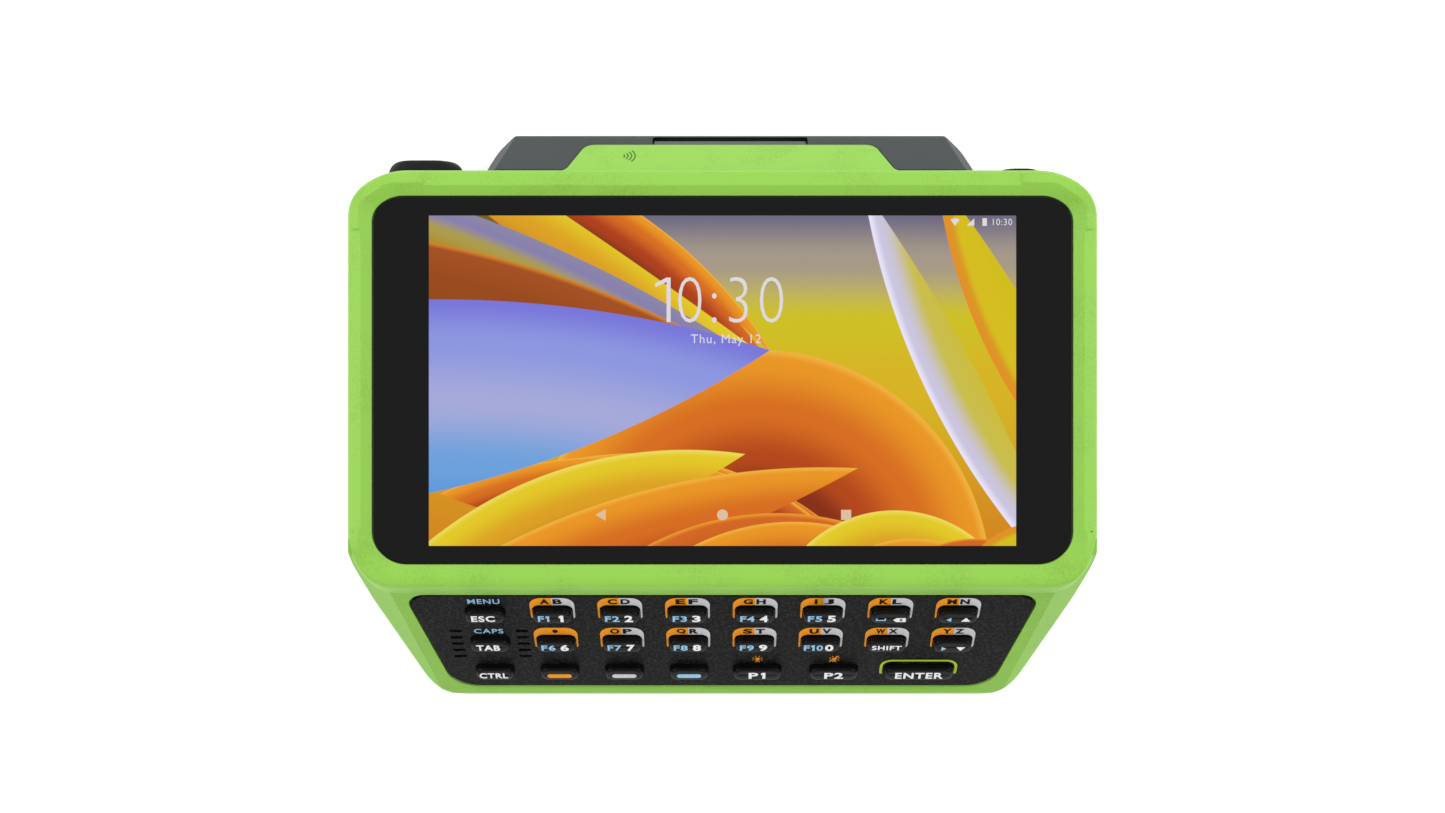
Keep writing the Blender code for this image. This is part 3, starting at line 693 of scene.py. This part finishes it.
def ramp_of(material, factor, stops):
    """The colour that a factor gives on an eased ramp of hex colours."""
    made = add(material, "ShaderNodeValToRGB", {"Fac": factor})
    made.color_ramp.interpolation = "EASE"
    for i, (position, colour) in enumerate(stops):
        stop = made.color_ramp.elements[i] if i < 2 else made.color_ramp.elements.new(position)
        stop.position = position
        stop.color = linear(colour)
    return made.outputs["Color"]


def arc_depth(start, end, bulge, side):
    """How far inside an arc through two places a point lies, in mm; the arc bulges to the left."""
    first, last = Vector(start), Vector(end)
    chord = last - first
    radius = (chord.length_squared / 4 + bulge * bulge) / (2 * abs(bulge))
    left = Vector((-chord.y, chord.x)).normalized()
    centre = (first + last) / 2 + left * (bulge - math.copysign(radius, bulge))
    sign = math.copysign(1.0, bulge) * side
    apart = add(screen, "ShaderNodeVectorMath", {0: flat_mm.outputs["Vector"]}, operation="DISTANCE")
    apart.inputs[1].default_value = (centre.x, centre.y, 0.0)
    return add(screen, "ShaderNodeMath", {0: apart.outputs["Value"]}, operation="MULTIPLY_ADD"), sign, radius


def petal(under, start, end, upper, lower, depth, stops):
    """Paints one petal over a colour and returns the new colour."""
    edges = []
    for bulge, side in ((upper, 1.0), (lower, -1.0)):
        made, sign, radius = arc_depth(start, end, bulge, side)
        made.inputs[1].default_value = -sign
        made.inputs[2].default_value = sign * radius
        edges.append(made.outputs[0])
    inside = add(screen, "ShaderNodeMath", {0: edges[0], 1: edges[1]}, operation="MINIMUM")
    mask = add(screen, "ShaderNodeMapRange", {"Value": inside.outputs[0]}, From_Min=-0.06, From_Max=0.06)
    share = add(screen, "ShaderNodeMapRange", {"Value": edges[0]}, From_Max=depth)
    colour = ramp_of(screen, share.outputs["Result"], stops)
    mix = add(screen, "ShaderNodeMix", data_type="RGBA")
    screen.node_tree.links.new(mask.outputs["Result"], mix.inputs["Factor"])
    screen.node_tree.links.new(under, mix.inputs["A"])
    screen.node_tree.links.new(colour, mix.inputs["B"])
    return mix.outputs["Result"]


rise = add(screen, "ShaderNodeMapRange", {"Value": axes.outputs["Y"]}, From_Min=-30.0, From_Max=30.0)
picture = ramp_of(
    screen, rise.outputs["Result"],
    [(0.0, "d98a14"), (0.5, "dcb91c"), (0.68, "d3c51e"), (0.86, "a99c8c"), (1.0, "6f6a86")],
)
BROWN = [(0.0, "d8862a"), (0.06, "a8501a"), (0.4, "9c4a12"), (1.0, "8a4818")]
AMBER = [(0.0, "f6b63c"), (0.07, "f09a1e"), (0.45, "dd6f18"), (0.8, "b8460f"), (1.0, "8a2c0c")]
GOLDEN = [(0.0, "f2e05a"), (0.1, "e9cf22"), (0.55, "e2a41c"), (1.0, "b8661a")]
VIOLET = [(0.0, "8f8aa8"), (0.15, "8a83b4"), (0.35, "b0a04a"), (0.6, "b88c14"), (1.0, "6a2c14")]
UMBER = [(0.0, "8a7a2a"), (0.2, "a08414"), (0.5, "7c5c10"), (1.0, "4e3a14")]
SKY = [(0.0, "7b79e0"), (0.2, "8f9ae6"), (0.5, "a9aee0"), (0.8, "6fa5e2"), (1.0, "5c9ce0")]
LILAC = [(0.0, "f0ecff"), (0.12, "d0cae6"), (0.45, "cfc24a"), (1.0, "d8bf14")]
LEMON = [(0.0, "ef8f22"), (0.12, "e09a1c"), (0.3, "dcc316"), (1.0, "d6c20e")]
EMBER = [(0.0, "f29a2c"), (0.06, "d9691c"), (0.5, "b23f12"), (1.0, "7c2c12")]
PETALS = [
    ((62.0, -38.0), (25.0, 34.0), 6.5, -3.0, 13.0, LILAC),
    ((72.0, -26.0), (38.0, 36.0), 7.0, -3.0, 9.0, LEMON),
    ((-95.0, 50.0), (9.0, 2.0), 14.0, -4.0, 24.0, UMBER),
    ((-60.0, 46.0), (8.0, 3.0), 5.5, -5.0, 13.0, GOLDEN),
    ((-44.0, 40.0), (8.0, 4.0), 5.5, 0.5, 6.0, EMBER),
    ((-37.0, 40.0), (9.0, 4.5), 5.5, 1.8, 6.0, AMBER),
    ((-90.0, 41.0), (7.0, 3.0), 6.0, -4.0, 13.0, VIOLET),
    ((-110.0, 26.0), (5.0, 3.0), 10.0, -6.0, 17.0, BROWN),
    ((-35.5, -36.0), (47.5, -36.0), 41.5, -5.0, 24.0, AMBER),
    ((-34.0, -22.0), (30.0, -40.0), 15.0, -9.0, 9.0, EMBER),
    ((-42.0, -20.0), (24.0, -32.0), 12.5, -9.0, 7.0, AMBER),
    ((-44.0, -21.0), (18.0, -26.0), 10.0, -6.0, 6.0, EMBER),
    ((-50.0, -20.0), (12.0, -21.0), 7.0, -6.0, 6.0, AMBER),
    ((-150.0, -13.0), (8.4, 5.4), 17.0, -19.0, 36.0, SKY),
    ((-60.0, -36.0), (4.0, -13.0), 8.5, -4.0, 12.0, GOLDEN),
    ((-64.0, -46.0), (24.0, -15.5), 9.0, -4.0, 15.0, AMBER),
    ((-30.0, -44.0), (46.0, -40.0), 18.5, -4.0, 15.0, EMBER),
    ((-22.0, -46.0), (46.0, -44.0), 20.0, -9.0, 12.0, AMBER),
    ((8.0, -42.0), (52.0, -38.0), 17.0, -4.0, 11.0, GOLDEN),
    ((14.0, -44.0), (52.0, -40.0), 14.0, -4.0, 12.0, AMBER),
    ((26.0, -42.0), (62.0, -38.0), 12.0, -4.0, 8.0, EMBER),
    ((40.0, -40.0), (72.0, -32.0), 11.0, -4.0, 6.0, LEMON),
]
for entry in PETALS:
    picture = petal(picture, *entry)
plug(screen, "Emission Color", picture)

panel_light = bmesh.new()
lit_area = [(x, y + SCREEN_Y) for x, y, _ in box_outline(*SCREEN_SIZE)]
prism(panel_light, lit_area, SCREEN_Z - 0.1, SCREEN_Z + 0.02)
display = finished("display_picture", panel_light, [screen])
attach(display, "housing")


# --- Marks on the display ---------------------------------------------------------------------------
# The clock, the date, the three navigation marks and the status icons, drawn in dimmed white.
PRINT_THICK = 0.02


def lettering(shape, words, x, y, wide, high, index, low=0.0, weight=0.0):
    """Adds words as closed flat solids, stretched to a width and height and centred on a place."""
    curve = bpy.data.curves.new("words", "FONT")
    curve.body = words
    curve.offset = weight
    curve.extrude = 0.1
    curve.resolution_u = 4
    curve.space_character = 1.12
    text = bpy.data.objects.new("words", curve)
    bpy.context.scene.collection.objects.link(text)
    bpy.context.view_layer.update()
    mesh = bpy.data.meshes.new_from_object(text.evaluated_get(bpy.context.evaluated_depsgraph_get()))
    bpy.data.objects.remove(text)
    low_corner = Vector(min(v.co[i] for v in mesh.vertices) for i in range(3))
    high_corner = Vector(max(v.co[i] for v in mesh.vertices) for i in range(3))
    size = high_corner - low_corner
    scale = Vector((wide / size.x, high / size.y, PRINT_THICK / size.z))
    old = set(shape.faces)
    middle = (low_corner + high_corner) / 2
    for vert in mesh.vertices:
        apart = vert.co - middle
        height = low + PRINT_THICK / 2 + apart.z * scale.z
        vert.co = Vector((x + apart.x * scale.x, y + apart.y * scale.y, height)) * MM
    shape.from_mesh(mesh)
    bpy.data.meshes.remove(mesh)
    bmesh.ops.remove_doubles(shape, verts=shape.verts, dist=1e-8)
    for face in set(shape.faces) - old:
        face.material_index = index


def flagged_one(shape, x, y, high, stroke, index, low=0.0):
    """A figure one with a flag, with its stem's middle at x and its height centred on y."""
    top, half = high / 2, stroke / 2
    points = [(half, -top), (half, top), (-half, top), (-high * 0.3, top - high * 0.13)]
    points += [(-high * 0.3, top - high * 0.13 - stroke * 0.95), (-half, top - stroke * 1.1)]
    points.append((-half, -top))
    patch(shape, [(x + px, y + py) for px, py in points], index, low)


def patch(shape, points, index, low=0.0):
    """Adds one flat outline as a thin solid with a material of its own."""
    old = set(shape.faces)
    prism(shape, points, low, low + PRINT_THICK)
    for face in set(shape.faces) - old:
        face.material_index = index


white_light = shader_of("white_light", "101010", 0.3, Emission_Strength=0.9)
white_light.node_tree.nodes["Principled BSDF"].inputs["Emission Color"].default_value = linear("e6e0e6")
soft_light = shader_of("soft_light", "101010", 0.3, Emission_Strength=0.85)
soft_light.node_tree.nodes["Principled BSDF"].inputs["Emission Color"].default_value = linear("ecc9a8")
marks = bmesh.new()
top = SCREEN_Z + 0.03
lettering(marks, "0:30", 1.45, 21.65, 18.6, 8.1, 0, top, weight=-0.02)
flagged_one(marks, -9.55, 21.65, 7.9, 0.72, 0, top)
lettering(marks, "Thu, May 12", 0.6, 14.5, 12.4, 2.1, 0, top)
lettering(marks, "10:30", 49.6, 35.45, 3.4, 1.15, 0, top)
patch(marks, [(-20.7, -15.4), (-22.5, -16.45), (-20.7, -17.5)], 1, top)
patch(marks, circle(0.0, -16.45, 0.97), 1, top)
patch(marks, [(21.0, -17.35), (22.8, -17.35), (22.8, -15.55), (21.0, -15.55)], 1, top)
patch(marks, [(41.2, 34.75), (42.0, 35.85), (41.2, 36.15), (40.4, 35.85)], 0, top)
patch(marks, [(43.3, 34.8), (44.6, 34.8), (44.6, 36.1)], 0, top)
patch(marks, [(46.05, 34.75), (46.85, 34.75), (46.85, 36.1), (46.05, 36.1)], 0, top)
shown = finished("display_marks", marks, [white_light, soft_light])
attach(shown, "housing")


# --- Keypad panel -----------------------------------------------------------------------------------
# A moulded bezel plate in near-black plastic, whose coarse grain shows as light specks in a dark
# ground. It has a close hole for each key and two columns of speaker slots.
bezel_black = shader_of("textured_bezel", "0a0b0a", 0.5, Specular_IOR_Level=0.08)
sparkle = noise(bezel_black, 0.5, 3.0)
tint(bezel_black, sparkle, [(0.45, "0a0b0a", 1.0), (0.66, "272a27", 1.0)])
emboss(bezel_black, sparkle, 0.5, 0.04)

KEY_STEP = 12.28
KEY_SHIFT = -0.21
KEY_TALL = 3.8
KEY_ROWS = (0.0, 9.17, 18.34)
SLOT_STEP = 2.03
SLOT_SIZE = (2.45, 0.8)


def column(index):
    """The middle of a key column, counted from the left."""
    return (index - 3.5) * KEY_STEP + KEY_SHIFT


def key_y(row):
    """The middle of a key row, counted from the top."""
    return -KEY_ROWS[row] - KEY_TALL / 2


KEYS = []
for row, names in enumerate(("esc 1 2 3 4 5 space up", "tab 6 7 8 9 0 shift down", "ctrl orange grey blue")):
    KEYS += [(name, column(i), row, 7.5) for i, name in enumerate(names.split())]
KEYS += [("p1", 6.6, 2, 9.4), ("p2", 21.1, 2, 9.4), ("enter", 37.3, 2, 13.3)]

plate_shape = bmesh.new()
prism(plate_shape, rounded(panel_outline, 12), -PANEL_THICK, 0.0)
soften(plate_shape, 0.15, 3, least=60.0, above=-1e-3)
bezel = finished("keypad_bezel", plate_shape, [bezel_black], PAD_FRAME)
holes = bmesh.new()
for name, x, row, wide in KEYS:
    opening = box_outline(wide - 0.1, KEY_TALL - 0.04, 1.3, x, key_y(row))
    prism(holes, rounded(opening, 5), -5.0, 5.0)
for x in (-49.3, -37.05):
    for i in range(5):
        prism(holes, oblong(*SLOT_SIZE, 0.0, x, -7.75 - SLOT_STEP * i), -5.0, 5.0)
boolean(bezel, holes, PAD_FRAME, "DIFFERENCE")
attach(bezel, "housing")
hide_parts("keypad_panel")


# --- Printing on the keypad panel -------------------------------------------------------------------
# Screen-printed round the keys: an arch per letter pair, half orange and half light grey, with black
# letters, light blue words, two lamp signs over the programmable keys and a lime line round Enter.
PRINT_LIFT = 0.015
OVERPRINT_LIFT = PRINT_LIFT + 0.03
ORANGE, GREY, BLUE, BLACK, LIME, WHITE = range(6)
inks = [
    ink("orange_ink", "ffa014"), ink("grey_ink", "d9d7da"), ink("blue_ink", "9fd4f6"),
    ink("black_ink", "0c0b0b"), ink("lime_ink", "b6d92e"), ink("white_ink", "ffffff"),
]
PAIRS = dict(zip(["1", "2", "3", "4", "5", "space", "up"], ["AB", "CD", "EF", "GH", "IJ", "KL", "MN"]))
PAIRS |= dict(zip(["6", "7", "8", "9", "0", "shift", "down"], ["•", "OP", "QR", "ST", "UV", "WX", "YZ"]))
RING_WIDE = 8.1
RING_TOP = 2.46
RING_LOW = 3.6


def half_arch(shape, x, y, side, index):
    """One half of the printed arch round a key, from its crown down to its foot."""
    outer = rounded(box_outline(RING_WIDE, RING_TOP + 5.0, 2.1, 0.0, (RING_TOP - 5.0) / 2), 8)
    inner = rounded(box_outline(7.4, 4.4, 1.4, 0.0, -1.85), 8)
    outer = [(px, max(py, -RING_LOW)) for px, py in outer if px * side > 0 and py > -4.0]
    inner = [(px, max(py, -RING_LOW + 0.1)) for px, py in inner if px * side > 0 and py > -2.5]
    outer.sort(key=lambda p: math.atan2(p[0] * side, p[1] + 2.0))
    inner.sort(key=lambda p: -math.atan2(p[0] * side, p[1] + 2.0))
    foot = [(side * (RING_WIDE / 2 - 0.3), -RING_LOW), (side * 3.72, -RING_LOW)]
    points = [(0.0, RING_TOP)] + outer + foot + inner + [(0.0, 0.35)]
    patch(shape, [(x + px, y + py) for px, py in points], index, PRINT_LIFT)


def lamp_sign(shape, x, y, index):
    """A small bulb with rays."""
    patch(shape, circle(x, y, 0.42, 16), index, PRINT_LIFT)
    base = [(px, py) for px, py, _ in box_outline(0.44, 0.3, 0.0, x, y - 0.65)]
    patch(shape, base, index, PRINT_LIFT)
    for i in range(8):
        angle = math.pi / 8 + math.pi / 4 * i
        along = Vector((math.cos(angle), math.sin(angle)))
        across = Vector((-along.y, along.x)) * 0.07
        near, far = Vector((x, y)) + along * 0.62, Vector((x, y)) + along * 1.05
        patch(shape, [near - across, far - across, far + across, near + across], index, PRINT_LIFT)


prints = bmesh.new()
for name, x, row, wide in KEYS:
    y = -KEY_ROWS[row]
    if name not in PAIRS:
        continue
    pair = PAIRS[name]
    half_arch(prints, x, y, -1, ORANGE)
    half_arch(prints, x, y, 1, ORANGE if pair == "•" else GREY)
    if pair == "•":
        patch(prints, circle(x, y + 1.4, 0.52, 20), BLACK, OVERPRINT_LIFT)
        continue
    for letter, shift in zip(pair, (-1.28, 1.05)):
        slim = 0.5 if letter == "I" else 1.7
        lettering(prints, letter, x + shift, y + 1.4, slim, 1.5, BLACK, OVERPRINT_LIFT, weight=0.045)
lettering(prints, "MENU", column(0), 1.4, 5.8, 1.42, BLUE, PRINT_LIFT, weight=0.012)
lettering(prints, "CAPS", column(0), 1.4 - KEY_ROWS[1], 5.4, 1.42, BLUE, PRINT_LIFT, weight=0.012)
lamp_sign(prints, 6.6, -16.8, ORANGE)
lamp_sign(prints, 21.1, -16.8, ORANGE)
slash = [(20.1, -17.6), (20.25, -17.72), (21.95, -15.8), (21.8, -15.68)]
patch(prints, slash, ORANGE, OVERPRINT_LIFT)
arch_outer = box_outline(14.7, 6.0, 2.2, 37.2, -18.34 - 1.75)
outer = rounded(arch_outer, 8)
inner = rounded(offset(arch_outer, 0.5), 8)
line = bmesh.new()
prism(line, outer, PRINT_LIFT, PRINT_LIFT + 0.02)
arch = finished("enter_line", line, [inks[LIME]])
carve(arch, inner, -1.0, 1.0)
carve(arch, [(20.0, -40.0), (50.0, -40.0), (50.0, -21.6), (20.0, -21.6)], -1.0, 1.0)
arch.data.transform(PAD_FRAME)
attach(arch, "housing")
legends = finished("panel_printing", prints, inks, PAD_FRAME)
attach(legends, "housing")


# --- Keys -------------------------------------------------------------------------------------------
# Twenty-three hard-coated polycarbonate caps, glossy black, each on its own dome. A cap rises from
# its hole with a little draft to a rounded rim; its legend is printed across the face.
gloss = shader_of("gloss_keycap", "0b0b0c", 0.22, Specular_IOR_Level=0.15)
haze = noise(gloss, 1.5, 5.0)
vary_gloss(gloss, haze, 0.2, 0.36)
plug(gloss, "Base Color", ramp_of(gloss, haze, [(0.3, "0a0a0b"), (0.7, "0f0f10")]))

KEY_HIGH = (1.3, 1.45)
RIM_INSET = 0.26
RIM_LOW = 0.95
RIM_RADIUS = 0.42
LEGEND_Y = -0.15
NUMBER_Y = -0.12
LEGENDS = {
    "esc": [("ESC", -0.3, 4.3, 1.65)], "tab": [("TAB", -0.3, 4.4, 1.65)], "ctrl": [("CTRL", -0.2, 5.4, 1.6)],
    "shift": [("SHIFT", 0.0, 5.5, 1.3)], "p1": [("P", -0.75, 1.8, 1.85)], "p2": [("P2", 0.0, 3.6, 1.85)],
    "enter": [("ENTER", 0.0, 9.1, 1.85)],
}
SIGNS = {"orange": ORANGE, "grey": GREY, "blue": BLUE, "up": 1, "down": -1}


def face_height(y):
    """How high a cap's face stands at a place; it rises towards the lower edge."""
    upper, lower = KEY_HIGH
    return (upper + lower) / 2 - (lower - upper) * y / KEY_TALL


def cap_section(wide, inset, z, tilt):
    """One outline of a cap, drawn in by an inset, level or tilted like the face."""
    outline = rounded(box_outline(wide - 2 * inset, KEY_TALL - 2 * inset, 1.5 - inset * 0.5), 8)
    return [(x, y, z + (face_height(y) - face_height(0.0) if tilt else 0.0)) for x, y in outline]


for name, x, row, wide in KEYS:
    cap = bmesh.new()
    sections = [cap_section(wide, -0.6, -2.0, False), cap_section(wide, -0.6, -1.5, False)]
    sections += [cap_section(wide, 0.13, -1.5, False), cap_section(wide, 0.14, 0.1, True)]
    for i in range(6):
        angle = math.pi / 2 * i / 5
        inset = RIM_INSET + RIM_RADIUS * (1 - math.cos(angle))
        sections.append(cap_section(wide, inset, RIM_LOW + RIM_RADIUS * math.sin(angle), True))
    sections.append(cap_section(wide, 1.1, 1.375, True))
    carry(cap, sections)
    words = bmesh.new()
    for text, shift, long, tall in LEGENDS.get(name, []):
        lettering(words, text, shift, LEGEND_Y, long, tall, WHITE, weight=0.028)
    if name == "p1":
        flagged_one(words, 1.25, LEGEND_Y, 1.85, 0.55, WHITE)
    if name.isdigit():
        if name in "01":
            letter_x, one_x = (-2.05, -0.75) if name == "1" else (-2.55, -1.3)
            lettering(words, "F", letter_x, LEGEND_Y, 1.1, 1.6, BLUE, weight=0.025)
            flagged_one(words, one_x, LEGEND_Y, 1.62, 0.42, BLUE)
        else:
            lettering(words, "F" + name, -1.4, LEGEND_Y, 2.6, 1.6, BLUE, weight=0.025)
        if name == "0":
            lettering(words, "0", -0.15, LEGEND_Y, 1.2, 1.62, BLUE, weight=0.025)
        if name == "1":
            flagged_one(words, 1.75, NUMBER_Y, 1.85, 0.55, WHITE)
        else:
            lettering(words, name, 1.6, NUMBER_Y, 1.55, 1.85, WHITE, weight=0.035)
    if name in ("orange", "grey", "blue"):
        patch(words, oblong(4.6, 1.15, 0.0, 0.0, -0.25), SIGNS[name], 0.0)
    if name in ("up", "down"):
        flip = SIGNS[name]
        back_x, tip_x = (-1.2, -2.1) if flip > 0 else (-2.1, -1.2)
        pointer = [(back_x, -1.0), (back_x, 0.2), (tip_x, -0.4)]
        patch(words, pointer, BLUE)
        foot_y = -0.4 - 0.5 * flip
        patch(words, [(0.6, foot_y), (2.3, foot_y), (1.45, -0.4 + 0.6 * flip)], WHITE)
    if name == "space":
        bracket = [(-2.6, 0.0), (-2.6, -0.7), (-0.8, -0.7), (-0.8, 0.0)]
        bracket += [(-1.05, 0.0), (-1.05, -0.45), (-2.35, -0.45), (-2.35, 0.0)]
        patch(words, bracket, BLUE)
        patch(words, [(0.5, -0.45), (1.1, 0.1), (2.8, 0.1), (2.8, -1.0), (1.1, -1.0)], WHITE)
        lettering(words, "x", 1.95, -0.45, 0.6, 0.6, BLACK, 0.03, weight=0.03)
    for vert in words.verts:
        vert.co.z += (face_height(vert.co.y / MM) + 0.005) * MM
    print_mesh = bpy.data.meshes.new("print")
    words.to_mesh(print_mesh)
    words.free()
    for face in cap.faces:
        face.material_index = len(inks)
    cap.from_mesh(print_mesh)
    seat = PAD_FRAME @ Matrix.Translation(Vector((x, key_y(row), 0.0)) * MM)
    key = finished("keycap_" + name, cap, inks + [gloss], seat)
    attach(key, "key_" + name + "_body")
    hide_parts("key_" + name)


# --- Screws and dock contacts ------------------------------------------------------------------------
# Four countersunk screws of plated steel hold the shells together, and gold-flashed pads meet the
# cradle's pins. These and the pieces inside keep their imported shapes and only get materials.
def metal(name, colour, roughness, grain):
    """Machined metal: fine tool marks in its gloss."""
    made = shader_of(name, colour, roughness, Metallic=1.0)
    tool_marks = noise(made, grain, 4.0)
    vary_gloss(made, tool_marks, roughness - 0.08, roughness + 0.12)
    emboss(made, tool_marks, 0.2, 0.01)
    return made


steel = metal("plated_steel", "9a9c9e", 0.3, 0.3)
gold = metal("gold_flash", "d8a84a", 0.25, 0.2)
magnesium = metal("cast_magnesium", "8a8d90", 0.45, 0.5)
dark_plastic = moulded("black_nylon", "1b1c1d", 0.55, 0.3, 0.02, 0.1)
board_green = moulded("solder_mask", "1f4a2c", 0.35, 0.6, 0.01, 0.2)
grey_rubber = rubber("grey_silicone", "4a4c4e")
cell_wrap = moulded("cell_wrap", "2a3f6e", 0.4, 0.8, 0.01, 0.1)
LOOKS = {
    "dock_contacts": gold, "battery_contacts": gold, "battery_lid": slate, "battery_cell": cell_wrap,
    "display_panel": dark_plastic, "display_gasket": black_rubber, "mid_frame": magnesium,
    "main_board": board_green, "keypad_board": board_green, "keypad_membrane": grey_rubber,
    "shield_can": steel, "battery_connector": dark_plastic, "speaker": dark_plastic,
    "nfc_antenna": dark_plastic, "trigger_switch": dark_plastic, "power_switch": dark_plastic,
    "vibration_motor": steel, "housing_screw_1": steel, "housing_screw_2": steel,
    "housing_screw_3": steel, "housing_screw_4": steel,
}
for name, look in LOOKS.items():
    for held in nodes[name].material_slots:
        held.material = look
